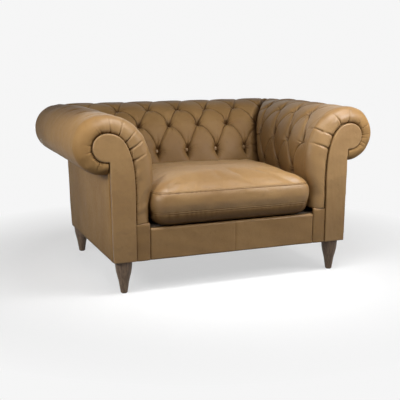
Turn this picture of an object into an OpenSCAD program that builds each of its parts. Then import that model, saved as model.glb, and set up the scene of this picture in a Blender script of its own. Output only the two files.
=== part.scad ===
// Chesterfield snuggler chair: a wide one-seat armchair with rolled, deep-buttoned
// arms and back, one loose boxed seat cushion and four turned legs.
// The chair faces -Y. Left and right are as seen from in front of it.
// The origin is on the floor, in the middle of the chair's outline.

/* [Overall size] */
// Width across the two rolled arms
total_w = 1326; // [1200:5:1450]
// Depth from the cushion's front to the rear of the back roll
total_d = 940; // [880:5:1020]
// Height of the arm rolls above the floor
arm_h = 714; // [680:1:760]
// How much lower the back roll stands than the arm rolls
back_drop = 10; // [0:1:16]
// Height of the body's lower edge above the floor
leg_h = 133; // [110:1:160]
// Width of an arm, from the roll's outside to where its inside is fullest
arm_w = 320; // [290:1:330]
// How far the rolls' centres lie outside the body's sides and back
roll_over = 25; // [18:1:32]

/* [Outside panels] */
// Radius of the body's rear corners
corner_r = 56; // [40:1:70]
// How far the outside panels lean out from bottom to top
panel_lean = 12; // [4:1:16]
// Thickness of an outside panel, board and leather together
panel_t = 6; // [4:0.5:9]

/* [Rolls and inside faces] */
// Radius of the padded roll
roll_r = 117; // [108:1:124]
// Depth from the facings' front to the inside back where it is fullest
seat_d = 516; // [480:1:560]
// Height at which the inside arms are fullest
arm_belly_z = 470; // [440:1:500]
// Height at which the inside back is fullest
back_belly_z = 360; // [330:1:390]
// How far the inside arms draw back beside the cushion
arm_recess = 22; // [12:1:28]
// Thickness of the padding over its lining
pad_t = 52; // [46:1:60]
// Height of the pads' lower edge
pad_low_z = 285; // [275:1:300]
// Thickness of the bent board that lines each pad
lining_t = 4; // [3:0.5:6]

/* [Buttoning] */
// Distance between buttons along a row of the back
back_pitch = 148.5; // [140:0.5:156]
// Distance between buttons along a row of an arm
arm_pitch = 140; // [132:0.5:148]
// Depth to which the buttons are pulled in
button_depth = 42; // [32:1:44]
// Depth of the folds between two buttons
fold_depth = 16; // [8:1:24]
// Distance over the pad from the roll's top to an arm's first row
arm_row_1 = 121; // [110:1:132]
// Distance over the pad from the roll's top to an arm's second row
arm_row_2 = 267; // [256:1:278]
// Distance over the pad from the roll's top to an arm's third row
arm_row_3 = 401; // [390:1:412]
// Distance over the pad from the roll's top to the back's first row
back_row_1 = 126; // [116:1:136]
// Distance over the pad from the roll's top to the back's second row
back_row_2 = 246; // [236:1:256]
// Distance over the pad from the roll's top to the back's third row
back_row_3 = 371; // [360:1:382]
// Distance from the facing's front to the foremost button
arm_tuft_front = 109; // [100:1:120]
// Diameter of a covered button
button_d = 18; // [14:1:22]
// Height of a button's dome
button_dome = 5; // [3:0.5:8]
// Least padding left under a button
button_rest = 2; // [1:0.5:4]

/* [Scroll facings] */
// Radius of the facing's scroll
facing_r = 55; // [48:1:62]
// How far the facing's scroll lies below the roll's centre
facing_low = 7; // [2:1:14]
// How far the facing's scroll lies inward of the roll's centre
facing_in = 6; // [2:1:10]
// Width from the scroll's centre to the facing's inner edge
facing_w = 112; // [106:1:118]
// Height where the facing's inner edge turns straight
facing_bend_z = 400; // [380:1:430]
// Thickness of a facing
facing_t = 20; // [16:1:24]
// Depth over which an arm pad rounds to its facing
front_round = 50; // [44:1:60]
// How far the rounded pad stays behind the facing's front
front_set = 4; // [2:1:8]

/* [Seat] */
// Height of the seat deck
seat_h = 261; // [250:1:270]
// Thickness of the seat deck's felt and cover
deck_t = 11; // [8:1:14]
// How far the base front reaches past the clear width on each side
base_over = 26; // [18:1:34]
// How far the base front lies behind the facings
base_set = 7; // [4:1:12]

/* [Seat cushion] */
// How far the cushion reaches under the fullest part of each arm
cushion_under = 15; // [5:1:18]
// Clearance between the cushion and the fullest part of the back
cushion_back_gap = 4; // [2:1:20]
// Overhang of the cushion in front of the facings
cushion_out = 14; // [8:1:20]
// Height of the cushion's lower seam above the floor
low_seam_z = 318; // [308:1:328]
// Height of the cushion's upper seam above the floor
high_seam_z = 400; // [390:1:410]
// Height of the cushion's crown above the floor
crown_z = 452; // [444:1:462]
// How far the border bulges past its seams
border_bulge = 4; // [2:0.5:7]
// Thickness of the cushion's cover
cover_t = 3; // [2.5:0.5:5]

/* [Frame] */
// Thickness of the posts, rails and ribs
board_t = 28; // [22:1:30]
// Height of the legs' corner blocks
block_h = 45; // [38:1:52]
// Depth of a corner block from front to back
block_d = 92; // [84:1:100]
// Width of the board inside each roll
roll_board_w = 86; // [76:1:92]
// Thickness of the board inside each roll
roll_board_t = 25; // [20:1:28]
// Height of the tacking rails
tack_h = 45; // [35:1:55]
// Thickness of the tacking rails
tack_t = 25; // [20:1:30]
// Height of the stretcher under the springs
stretcher_h = 55; // [45:1:65]

/* [Springs] */
// Diameter of the spring wire
wire_d = 3.6; // [3:0.1:4]
// Width of a zigzag spring
spring_w = 46; // [40:1:52]
// Distance between neighbouring springs
spring_gap = 122; // [112:1:128]
// Clearance between the outermost springs and the outer ribs
spring_clear = 6; // [3:1:20]
// Distance between a spring's bars
bar_pitch = 25; // [22:0.5:28]
// Width of a spring clip
clip_w = 16; // [12:1:20]
// Length of a spring clip
clip_l = 18; // [14:1:22]
// Thickness of a spring clip
clip_t = 1.2; // [0.8:0.1:1.6]

/* [Legs] */
// Inset of a leg's centre from the body's side
leg_inset_x = 49; // [46:1:52]
// Inset of a leg's centre from the body's front and back
leg_inset_y = 41; // [40:1:46]
// Diameter of a leg at its top
leg_top_d = 70; // [60:1:74]
// Diameter of a leg at its foot
leg_foot_d = 28; // [24:1:32]
// Height of the glide under a leg
glide_h = 3; // [2:0.5:5]
// Diameter of the glide
glide_d = 22; // [18:1:24]
// Diameter of the hanger bolts
bolt_d = 8; // [6:1:10]
// Length of a hanger bolt
bolt_l = 66; // [60:1:72]

/* [Hidden] */

// Clearance between two pieces that lie against each other
gap = 0.3;
// Clearance between the pads at the mitred inner corners
mitre_gap = 1.5;
// Clearance between a facing's edge and the pad that rounds to it
seam_gap = 2.4;
// Overrun of a cutting solid
over = 1;
// Facets of a round solid
round_n = 48;

// Places that follow from the driving sizes
half_w = total_w / 2;
front_y = cushion_out - total_d / 2;
roll_x = half_w - roll_r;
roll_y = total_d / 2 - roll_r;
roll_z = arm_h - roll_r;
body_w = 2 * (roll_x - roll_over);
body_back_y = roll_y - roll_over;
seat_w = total_w - 2 * arm_w;
base_w = seat_w + 2 * base_over;
cushion_w = seat_w + 2 * cushion_under;
cushion_d = seat_d + cushion_out - cushion_back_gap;
panel_top_share = 0.55;
panel_top_z = roll_z - roll_r * panel_top_share;
panel_inner_x = body_w / 2 - panel_t - gap;
panel_inner_y = body_back_y - panel_t - gap;
facing_back_y = front_y + facing_t;
post_front_y = facing_back_y + gap;
post_back_y = post_front_y + board_t;
frame_in = pad_t + lining_t + 2 * gap;
arm_core_x = seat_w / 2 + frame_in;
back_core_y = front_y + seat_d + frame_in;
arm_rear_post_y = back_core_y - gap - board_t;
block_top_z = leg_h + block_h;
roll_board_z = roll_z - roll_board_t / 2;
rear_block_y = panel_inner_y - block_d;
leg_x = body_w / 2 - leg_inset_x;
leg_front_y = front_y + leg_inset_y;
leg_rear_y = body_back_y - leg_inset_y + corner_r / 8;
deck_low_z = seat_h - deck_t;
rail_top_z = deck_low_z - 2 * clip_t - wire_d - 4 * gap;
wire_z = rail_top_z + clip_t + 2 * gap + wire_d / 2;

// Outlines of the padded section, as a list of sizes:
// centre, centre height, roll radius, inside reach, belly height, fullness,
// recess below the belly, lower end and the angle at which the roll ends
arm_full = 2.2;
back_full = 2.05;
facing_full = 2.5;
roll_end = 180 + asin((roll_over - panel_lean - gap) / roll_r);
post_end = 180 + asin((roll_x - panel_inner_x + gap) / (roll_r - frame_in));
facing_end = 192;

function arm_outline(inset, low = pad_low_z, end = roll_end) =
    [roll_x, roll_z, roll_r - inset, roll_x - seat_w / 2 - inset, arm_belly_z, arm_full,
     arm_recess * max(0, 1 - inset / pad_t), low, end];
function back_outline(inset, low = pad_low_z, end = roll_end) =
    [roll_y, roll_z, roll_r - inset, roll_y - front_y - seat_d - inset, back_belly_z, back_full,
     0, low, end];
function facing_outline(low = pad_low_z, end = roll_end) =
    [roll_x - facing_in, roll_z - facing_low, facing_r, facing_w, facing_bend_z, facing_full,
     0, low, end];

// Share of the inside curve that lies above the belly
face_share = 0.75;
// Share of the way below the belly after which the recess is full
recess_share = 0.7;

function ease(v) = let (c = min(1, max(0, v))) c * c * (3 - 2 * c);
function blend(a, b, s) = a + (b - a) * s;

// Point of an outline: t runs from 1 at the lower inside edge through 0 at the
// roll's top to -1 where the roll ends under the overhang
function outline_at(o, t) =
    t < 0 ? [o[0] + o[2] * sin(-t * o[8]), o[1] + o[2] * cos(-t * o[8])] :
    t <= face_share ?
        let (turn = 90 * t / face_share)
        [o[0] - o[3] * pow(sin(turn), 2 / o[5]),
         o[4] + (o[1] + o[2] - o[4]) * pow(max(0, cos(turn)), 2 / o[5])] :
    let (s = (t - face_share) / (1 - face_share))
    [o[0] - o[3] + o[6] * ease(s / recess_share), o[4] + (o[7] - o[4]) * s];

// Place of an inside face at height z, for the mitred corner
function face_at(o, z) =
    let (s = min(1, max(0, (z - o[4]) / (o[1] + o[2] - o[4]))),
         r = min(1, max(0, (o[4] - z) / (o[4] - o[7]))))
    o[0] - o[3] * pow(1 - pow(s, o[5]), 1 / o[5]) + o[6] * ease(r / recess_share);

// Outward direction of an outline at t
tiny_share = 0.004;
function outward_at(o, t) =
    let (a = outline_at(o, min(1, t + tiny_share)),
         b = outline_at(o, max(-1, t - tiny_share)),
         d = (b - a) / norm(b - a))
    [-d[1], d[0]];

// Way over the pad from the roll's top to t, and t at a given way
way_n = 60;
function ways(o, k = 0, sum = 0) =
    k > way_n ? [] :
    let (add = k == 0 ? 0 : norm(outline_at(o, k / way_n) - outline_at(o, (k - 1) / way_n)))
    concat([[sum + add, k / way_n]], ways(o, k + 1, sum + add));
arm_ways = ways(arm_outline(0));
back_ways = ways(back_outline(0));

// Rows of the padded grid: t values that hit the button rows
row_split = 3;
roll_split = 8;
function split(a, b, n) = [for (k = [1 : n]) blend(a, b, k / n)];
function face_ways(w, r1, r2, r3) =
    concat([0], split(0, r1, row_split), split(r1, r2, row_split), split(r2, r3, row_split),
           split(r3, w[way_n][0], row_split));
function grid_rows(w, r1, r2, r3) =
    let (fw = face_ways(w, r1, r2, r3))
    concat([1], [for (k = [len(fw) - 2 : -1 : 0]) lookup(fw[k], w)],
           [for (k = [1 : roll_split]) -k / roll_split]);
arm_rows = grid_rows(arm_ways, arm_row_1, arm_row_2, arm_row_3);
back_rows = grid_rows(back_ways, back_row_1, back_row_2, back_row_3);

// Row number over the pad: 3, 2 and 1 at the button rows, 0 at the roll's top,
// more than 3 below the lowest row and less than 0 beyond the top
function row_number(w, r1, r2, r3, t) =
    t < 0 ? -roll_split * -t / row_split :
    let (s = lookup(t, [for (k = w) [k[1], k[0]]]))
    lookup(s, [[0, 0], [r1, 1], [r2, 2], [r3, rows_n], [w[way_n][0], rows_n + 1]]);

// Depth of the buttoned surface below its full outline, where c counts pitches
// along the row and buttons of rows 1 and 3 lie at whole numbers
top_fold_share = 0.25;
fold_fade_share = 0.8;
low_fold_share = 0.5;
low_fade_share = 0.4;
plain_rise = 1.4;
pit_power = 0.8;
bulge_power = 0.6;
rows_n = 3;
function tuft(c, r, plain) =
    let (rc = min(rows_n, max(0, r)),
         p = c + rc / 2,
         q = c - rc / 2,
         out = !plain ? -1 : r < 1 ? 1 / 2 - q : max(rows_n / 2 - p, -1 / 2 - q),
         a0 = abs(cos(180 * p)),
         b0 = abs(cos(180 * q)),
         rise = sin(90 * min(1, plain_rise * max(0, out))),
         a = out > 0 ? rise : a0,
         b = out > 0 ? blend(max(a0, b0), 1, rise) : b0,
         near = r < 1 ? blend(top_fold_share, 1, max(0, r)) : 1 - low_fold_share * ease(r - rows_n),
         fade = r < 0 ? 1 - ease(-r / fold_fade_share) : 1 - ease((r - rows_n - 1) / low_fade_share + 1),
         deep = button_depth * near,
         fold = min(deep, fold_depth * max(near, 2 * top_fold_share)),
         high = (deep - fold) * pow(max(a, b), pit_power) + fold * pow(a * b, bulge_power))
    max(0, deep - high) * fade;

// The back stands a little lower than the arms, and the arms ease down to it
drop_way = roll_y - roll_r - back_core_y;
function lowered(v) =
    let (s = ease((v[1] - back_core_y) / drop_way),
         h = min(1, max(0, (v[2] - arm_belly_z) / (arm_h - arm_belly_z))))
    [v[0], v[1], v[2] - back_drop * s * h];

// Plan radius of the rolls' rear corner at the roll's top
arc_in = roll_r / 14;
arc_x = roll_x - arc_in;
arc_y = roll_y - arc_in;
arc_n = 3;
// Step between the last rings before a mitre
crowd = 1.5;
// Depth and width of the rounding into the inner corner
corner_depth = 16;
corner_way = 30;

// Plan place of the arm's ring at distance y, kept in front of the mitre;
// left counts the rings that still follow
function arm_ring(x, z, y, left, o_back) =
    x > arc_x ? [x, min(y, arc_y)] :
    [x, min(y, face_at(o_back, z) - mitre_gap - left * crowd)];
function back_ring(y, z, x, left, o_arm) =
    y > arc_y ? [min(x, arc_x), y] :
    [min(x, face_at(o_arm, z) - mitre_gap - left * crowd), y];
// Ring k of the rounded corner, as an angle from the arm
function arc_turn(k, rad) = 45 * k / arc_n - (k == arc_n ? asin(min(1, mitre_gap / max(mitre_gap, rad))) : 0);

// Rings of the rounded front: share of the way out from the facing's edge, and
// share of the rounding's depth; the first ring lies at the facing's back
front_ring_shares = [[0, 0.28], [0.07, 0.1], [0.24, 0], [0.5, 0.07], [0.76, 0.27], [0.93, 0.58], [1, 1]];
arm_tuft_y = front_y + arm_tuft_front;
arm_step = arm_pitch / (2 * row_split);
arm_cols = floor((arc_y - arm_tuft_y) / arm_step);
full_y = front_y + front_set + front_round;

// One point of the inside arm's skin, for the right arm
function arm_skin(t, j) =
    let (o = arm_outline(0),
         u = outline_at(o, t),
         rings = len(front_ring_shares),
         j2 = j - rings,
         left = arm_cols + 2 + arc_n - j2)
    j < rings ?
        let (f = outline_at(facing_outline(), t) + seam_gap * outward_at(facing_outline(), t),
             s = front_ring_shares[j],
             e = f + (u - f) * s[0])
        [e[0], j == 0 ? facing_back_y + gap / 2 : front_y + front_set + front_round * s[1], e[1]] :
    j2 <= arm_cols + 1 ?
        let (xy = arm_ring(u[0], u[1], arm_tuft_y + (j2 - 1) * arm_step, left, back_outline(0)),
             c = (xy[1] - arm_tuft_y) / arm_pitch + 0.5,
             near = face_at(back_outline(0), u[1]) - xy[1],
             d = tuft(c, row_number(arm_ways, arm_row_1, arm_row_2, arm_row_3, t), true),
             e = t == 1 || u[0] > arc_x ? 0 : corner_depth * (1 - ease(near / corner_way)),
             n = outward_at(o, t),
             v = u - n * (t == 1 ? 0 : max(d, e)))
        lowered([v[0], xy[1] + abs(n[0]) * e, v[1]]) :
    let (k = j2 - arm_cols - 1,
         rad = u[0] - arc_x,
         turn = arc_turn(k, rad),
         n = outward_at(o, t),
         e = t == 1 ? 0 : corner_depth,
         v = u - n * e)
    rad > 0 ? lowered([arc_x + rad * cos(turn), arc_y + rad * sin(turn), u[1]]) :
    lowered([v[0], face_at(back_outline(0), u[1]) - mitre_gap - left * crowd + abs(n[0]) * e, v[1]]);

// One point of the lining side of the inside arm's pad
function arm_inner(t, j) =
    let (o = arm_outline(pad_t),
         b = back_outline(pad_t),
         u = outline_at(o, t),
         rad = u[0] - arc_x,
         left = 2 + arc_n - j)
    j == 0 ? [u[0], facing_back_y + gap / 2, u[1]] :
    j <= 2 ?
        let (xy = arm_ring(u[0], u[1], j == 1 ? back_core_y : arc_y, left, b))
        lowered([xy[0], xy[1], u[1]]) :
    let (turn = arc_turn(j - 2, rad))
    rad > 0 ? lowered([arc_x + rad * cos(turn), arc_y + rad * sin(turn), u[1]]) :
    lowered([u[0], face_at(b, u[1]) - mitre_gap - left * crowd, u[1]]);

// One point of the inside back's skin; x runs from the middle to the right mitre
back_step = back_pitch / (2 * row_split);
back_cols = floor(arc_x / back_step);
function back_skin_half(t, j) =
    let (o = back_outline(0),
         u = outline_at(o, t),
         left = back_cols + arc_n - j,
         row = row_number(back_ways, back_row_1, back_row_2, back_row_3, t),
         n = outward_at(o, t))
    j <= back_cols ?
        let (xy = back_ring(u[0], u[1], j * back_step, left, arm_outline(0)),
             near = face_at(arm_outline(0), u[1]) - xy[0],
             d = tuft(xy[0] / back_pitch, row, false),
             e = t == 1 || u[0] > arc_y ? 0 : corner_depth * (1 - ease(near / corner_way)),
             v = u - n * (t == 1 ? 0 : max(d, e)))
        lowered([xy[0] + abs(n[0]) * e, v[0], v[1]]) :
    let (rad = u[0] - arc_y,
         turn = arc_turn(j - back_cols, rad),
         e = t == 1 ? 0 : corner_depth,
         v = u - n * e)
    rad > 0 ? lowered([arc_x + rad * sin(turn), arc_y + rad * cos(turn), u[1]]) :
    lowered([face_at(arm_outline(0), u[1]) - mitre_gap - left * crowd + abs(n[0]) * e, v[0], v[1]]);
function back_skin(t, j) =
    let (h = back_cols + arc_n, v = back_skin_half(t, abs(j - h)))
    [j < h ? -v[0] : v[0], v[1], v[2]];
function back_inner_half(t, j) =
    let (o = back_outline(pad_t),
         a = arm_outline(pad_t),
         u = outline_at(o, t),
         rad = u[0] - arc_y,
         left = 1 + arc_n - j)
    j <= 1 ?
        let (xy = back_ring(u[0], u[1], j == 0 ? 0 : arc_x, left, a))
        lowered([xy[0], xy[1], u[1]]) :
    let (turn = arc_turn(j - 1, rad))
    rad > 0 ? lowered([arc_x + rad * sin(turn), arc_y + rad * cos(turn), u[1]]) :
    lowered([face_at(a, u[1]) - mitre_gap - left * crowd, u[0], u[1]]);
function back_inner(t, j) =
    let (h = 1 + arc_n, v = back_inner_half(t, abs(j - h)))
    [j < h ? -v[0] : v[0], v[1], v[2]];

// Triangles that close the strip between two rings of points; sa and sb say how
// far along the strip each point lies
function zip(sa, sb, ia, ib, i = 0, j = 0) =
    i == len(sa) - 1 && j == len(sb) - 1 ? [] :
    j == len(sb) - 1 || (i < len(sa) - 1 && sa[i + 1] <= sb[j + 1]) ?
        concat([[ia[i], ia[i + 1], ib[j]]], zip(sa, sb, ia, ib, i + 1, j)) :
        concat([[ia[i], ib[j + 1], ib[j]]], zip(sa, sb, ia, ib, i, j + 1));
function flipped(f) = [for (v = f) [v[2], v[1], v[0]]];

// A closed pad from an outer grid and an inner grid with the same rows. The
// diagonals of the cells follow the folds; end_s orders the last row's closing strip
module pad(outer, inner, outer_s, inner_s, end_s, odd) {
    rows = len(outer);
    m = len(outer[0]);
    k = len(inner[0]);
    base = rows * m;
    points = concat([for (r = outer) each r], [for (r = inner) each r]);
    function out(i, j) = i * m + j;
    function inn(i, j) = base + i * k + j;
    skin = [for (i = [0 : rows - 2]) for (j = [0 : m - 2])
        let (a = out(i, j), b = out(i, j + 1), c = out(i + 1, j + 1), d = out(i + 1, j),
             way = (floor(i / row_split) + floor((j - odd) / row_split)) % 2)
        each way == 0 ? [[a, b, c], [a, c, d]] : [[a, b, d], [b, c, d]]];
    back = [for (i = [0 : rows - 2]) for (j = [0 : k - 2])
        let (a = inn(i, j), b = inn(i, j + 1), c = inn(i + 1, j + 1), d = inn(i + 1, j))
        each [[a, c, b], [a, d, c]]];
    ends = [for (i = [0 : rows - 2]) each
        [[out(i, 0), out(i + 1, 0), inn(i, 0)], [out(i + 1, 0), inn(i + 1, 0), inn(i, 0)],
         [out(i, m - 1), inn(i, k - 1), out(i + 1, m - 1)],
         [out(i + 1, m - 1), inn(i, k - 1), inn(i + 1, k - 1)]]];
    low = zip(outer_s, inner_s, [for (j = [0 : m - 1]) out(0, j)], [for (j = [0 : k - 1]) inn(0, j)]);
    high = zip(outer_s, end_s, [for (j = [0 : m - 1]) out(rows - 1, j)],
               [for (j = [0 : k - 1]) inn(rows - 1, j)]);
    polyhedron(points, concat(skin, back, ends, flipped(low), high), convexity = 10);
}

leather = "#a3814f";
dark_leather = "#8a6a3e";
wood = "#6f5a47";
beech = "#c8a77a";
steel = "#8f9296";

module inside_arm() {
    m = len(front_ring_shares) + arm_cols + 2 + arc_n;
    k = 3 + arc_n;
    outer = [for (t = arm_rows) [for (j = [0 : m - 1]) arm_skin(t, j)]];
    inner = [for (t = arm_rows) [for (j = [0 : k - 1]) arm_inner(t, j)]];
    outer_s = [for (j = [0 : m - 1]) min(1, j / (m - arc_n - 1)) + max(0, j - m + arc_n + 1)];
    inner_s = [for (j = [0 : k - 1]) j <= 2 ? j / 2 : j - 1];
    end_s = [for (j = [0 : k - 1]) j == 1 ? tiny_share : inner_s[j]];
    color(leather) pad(outer, inner, outer_s, inner_s, end_s, len(front_ring_shares) + 1);
}

module inside_back() {
    h = back_cols + arc_n;
    outer = [for (t = back_rows) [for (j = [0 : 2 * h]) back_skin(t, j)]];
    inner = [for (t = back_rows) [for (j = [0 : 2 * (1 + arc_n)]) back_inner(t, j)]];
    function along(d, n) = (d <= n ? d / n : 1 + d - n) * sign(n);
    outer_s = [for (j = [-h : h]) sign(j) * along(abs(j), back_cols)];
    inner_s = [for (j = [-1 - arc_n : 1 + arc_n]) sign(j) * along(abs(j), 1)];
    color(leather) pad(outer, inner, outer_s, inner_s, inner_s, arc_n + back_cols % row_split);
}

// The whole chair is drawn for the right side and mirrored for the left
module left_side() { mirror([1, 0, 0]) children(); }
module both_sides() {
    children();
    left_side() children();
}

// A plain block between two opposite corners
module block(a, b) { translate(a) cube(b - a); }

// Plan of the body inside its panels, with rounded rear corners
module body_plan(inset) {
    r = corner_r - inset;
    w = body_w / 2 - inset;
    difference() {
        polygon([[-w, front_y], [w, front_y], [w, body_back_y - corner_r], [w - r, body_back_y - inset],
                 [r - w, body_back_y - inset], [-w, body_back_y - corner_r]]);
    }
    for (side = [-1, 1])
        translate([side * (body_w / 2 - corner_r), body_back_y - corner_r]) circle(r = r, $fn = round_n);
}

// Points of an outline at the pads' own rows, so that boards and pads keep their
// clearance; the roll of a board goes on to a further angle under the overhang
under_n = 3;
function row_outline(o, rows, last = roll_end) =
    concat([for (t = rows) outline_at(o, t)],
           [for (k = [1 : under_n]) if (last > roll_end)
               let (turn = blend(roll_end, last, k / under_n))
               [o[0] + o[2] * sin(turn), o[1] + o[2] * cos(turn)]]);
// Solid section of a board in a padded roll, standing on low with its outer edge at outer
function board_outline(o, rows, core, outer, low) =
    concat([[core, low]], row_outline(o, rows, post_end), [[outer, low]]);
// Strip of even thickness between two outlines
function strip_outline(o, p, rows) =
    let (b = row_outline(p, rows))
    concat(row_outline(o, rows), [for (k = [len(b) - 1 : -1 : 0]) b[k]]);

// Stands a plan drawing upright: its y becomes height, and it runs from y0 to y1
module upright(y0, y1) {
    translate([0, y1, 0]) rotate([90, 0, 0]) linear_extrude(y1 - y0) children();
}
// The same across the chair: its x becomes the way back, and it runs from x0 to x1
module across(x0, x1) {
    translate([x0, 0, 0]) rotate([90, 0, 90]) linear_extrude(x1 - x0) children();
}

// Turned leg: a full shoulder that draws in to a straight taper
leg_shoulder_share = 0.3;
leg_swell_share = 0.04;
function leg_radius(s) =
    let (straight = blend(leg_foot_d / 2, leg_top_d / 2, s),
         swell = leg_top_d * leg_swell_share * sin(180 * min(1, max(0, (s - 1 + 2 * leg_shoulder_share)
                 / (2 * leg_shoulder_share)))))
    straight + swell;
leg_rings = 16;
module leg(place) {
    color(wood) translate(place) difference() {
        rotate_extrude($fn = round_n) polygon(concat(
            [[0, glide_h]],
            [for (k = [0 : leg_rings]) [leg_radius(k / leg_rings), blend(glide_h, leg_h, k / leg_rings)]],
            [[0, leg_h]]));
        translate([0, 0, leg_h - bolt_l / 2 - over]) cylinder(d = bolt_d + bolt_play, h = bolt_l, $fn = round_n);
    }
}
bolt_play = 0.1;
leg_places = [[leg_x, leg_front_y, 0], [leg_x, leg_rear_y, 0]];
module front_leg() { leg(leg_places[0]); }
module rear_leg() { leg(leg_places[1]); }

module leg_glides() {
    color("dimgray") both_sides() for (v = leg_places)
        translate(v) cylinder(d = glide_d, h = glide_h, $fn = round_n);
}

// Hanger bolts stand half in the leg and half in the tee nut's barrel
module hanger_bolts() {
    color(steel) both_sides() for (v = leg_places)
        translate([v[0], v[1], leg_h - bolt_l / 2]) cylinder(d = bolt_d, h = bolt_l, $fn = round_n);
}

nut_wall = 1.6;
nut_flange_d = 22;
nut_flange_t = 1.6;
nut_l = 14;
nut_depth = 8;
module tee_nut_shape(play) {
    top = block_top_z - nut_depth;
    translate([0, 0, top - nut_l]) cylinder(d = bolt_d + 2 * nut_wall + play, h = nut_l, $fn = round_n);
    translate([0, 0, top]) cylinder(d = nut_flange_d + play, h = play > 0 ? nut_depth + over : nut_flange_t, $fn = round_n);
}
module tee_nuts() {
    color(steel) both_sides() for (v = leg_places) translate(v) difference() {
        tee_nut_shape(0);
        cylinder(d = bolt_d + bolt_play, h = block_top_z + over, $fn = round_n);
    }
}

// Solid blocks in the body's four corners, bored for the tee nuts
module corner_blocks() {
    color(beech) both_sides() difference() {
        intersection() {
            union() {
                block([arm_core_x, post_front_y, leg_h], [panel_inner_x, post_front_y + block_d, block_top_z]);
                block([arm_core_x, rear_block_y, leg_h], [panel_inner_x, panel_inner_y, block_top_z]);
            }
            translate([0, 0, leg_h - over]) linear_extrude(block_h + 2 * over) body_plan(panel_t + 3 * gap);
        }
        for (v = leg_places) {
            translate([v[0], v[1], 0]) cylinder(d = bolt_d + bolt_play, h = block_top_z, $fn = round_n);
            translate([v[0], v[1], 0]) tee_nut_shape(bolt_play);
        }
    }
}

rail_x = arm_core_x - gap;
module front_rail() {
    color(beech) block([-rail_x, post_front_y, leg_h], [rail_x, post_back_y, rail_top_z]);
}
module back_rail() {
    color(beech) block([-rail_x, panel_inner_y - board_t, leg_h], [rail_x, panel_inner_y, rail_top_z]);
}
module side_rail() {
    color(beech) block([panel_inner_x - board_t, post_front_y + block_d + gap, leg_h],
                       [panel_inner_x, rear_block_y - gap, rail_top_z]);
}
module centre_stretcher() {
    color(beech) block([-board_t / 2, post_back_y + gap, leg_h],
                       [board_t / 2, panel_inner_y - board_t - gap, leg_h + stretcher_h]);
}

// Front post: the arm's section in solid board, behind the facing
module arm_front_post() {
    color(beech) upright(post_front_y, post_back_y)
        polygon(board_outline(arm_outline(frame_in), arm_rows, arm_core_x, panel_inner_x, block_top_z + gap));
}
// Rear post: the same section, cut off under the board that runs inside the roll
module arm_rear_post() {
    color(beech) upright(arm_rear_post_y, arm_rear_post_y + board_t) intersection() {
        polygon(board_outline(arm_outline(frame_in), arm_rows, arm_core_x, panel_inner_x, rail_top_z + gap));
        square([total_w, roll_board_z - gap]);
    }
}
module arm_roll_board() {
    color(beech) block([roll_x - roll_board_w / 2, post_back_y + gap, roll_board_z],
                       [roll_x + roll_board_w / 2, roll_y - roll_board_w / 2 - gap, roll_board_z + roll_board_t]);
}
module arm_tack_rail() {
    color(beech) block([arm_core_x + gap, post_back_y + gap, pad_low_z],
                       [arm_core_x + gap + tack_t, arm_rear_post_y - gap, pad_low_z + tack_h]);
}

// Ribs of the back: the back's section in board
module back_rib(x) {
    color(beech) across(x - board_t / 2, x + board_t / 2) intersection() {
        polygon(lowered_all(board_outline(back_outline(frame_in), back_rows, back_core_y, panel_inner_y,
                                          rail_top_z + gap)));
        square([total_d, roll_board_z - gap]);
    }
}
// Points of a back's section as they lie once the back is lowered to its height
function lowered_all(points) = [for (v = points) let (w = lowered([0, v[0], v[1]])) [w[1], w[2]]];
rib_x = rail_x - board_t / 2;
lining_x = arm_core_x - lining_t - 2 * gap;
module back_roll_board() {
    reach = roll_x + roll_board_w / 5;
    color(beech) block([-reach, roll_y - roll_board_w / 2, roll_board_z],
                       [reach, roll_y + roll_board_w / 2, roll_board_z + roll_board_t]);
}
module back_tack_rails() {
    color(beech) both_sides()
        block([board_t / 2 + gap, back_core_y + gap, pad_low_z],
              [rib_x - board_t / 2 - gap, back_core_y + gap + tack_t, pad_low_z + tack_h]);
}

// Bent boards that line the pads and bridge the posts and ribs
module arm_lining() {
    color(beech) upright(post_front_y, arm_rear_post_y + board_t)
        polygon(strip_outline(arm_outline(pad_t + gap), arm_outline(pad_t + gap + lining_t), arm_rows));
}
module back_lining() {
    color(beech) across(-lining_x, lining_x)
        polygon(lowered_all(strip_outline(back_outline(pad_t + gap), back_outline(pad_t + gap + lining_t),
                                          back_rows)));
}

// Zigzag springs: bars across, joined by bends at alternate ends. Their number is
// even, because the middle belongs to the centre rib
spring_reach = rib_x - board_t / 2 - spring_clear - spring_w / 2;
spring_count = 2 * floor(spring_reach / spring_gap + 1 / 2);
spring_sides = 5;
spring_y0 = post_front_y + board_t / 2;
spring_y1 = panel_inner_y - board_t / 2;
bar_count = floor((spring_y1 - spring_y0) / bar_pitch);
bend_share = 0.3;
function spring_points() = concat(
    [[0, spring_y0]],
    [for (k = [0 : bar_count - 1]) let (s = k % 2 == 0 ? 1 : -1, y = spring_y0 + (k + 0.5) * bar_pitch)
        each [[-s * spring_w / 2, y - bar_pitch * bend_share], [-s * spring_w / 2, y + bar_pitch * bend_share]]],
    [[0, spring_y1]]);
function spring_ring(pts, k) =
    let (n = len(pts),
         a = pts[max(0, k - 1)],
         b = pts[min(n - 1, k + 1)],
         p = pts[k],
         u = k == 0 ? [0, 1] : k == n - 1 ? [0, 1] : (b - a) / norm(b - a),
         w = k == 0 || k == n - 1 ? 1 : 1 / max(0.6, abs(u * (b - p)) / norm(b - p)),
         side = [u[1], -u[0]])
    [for (i = [0 : spring_sides - 1])
        let (turn = 360 * i / spring_sides)
        [p[0] + side[0] * w * wire_d / 2 * cos(turn), p[1] + side[1] * w * wire_d / 2 * cos(turn),
         wire_z + wire_d / 2 * sin(turn)]];
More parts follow.
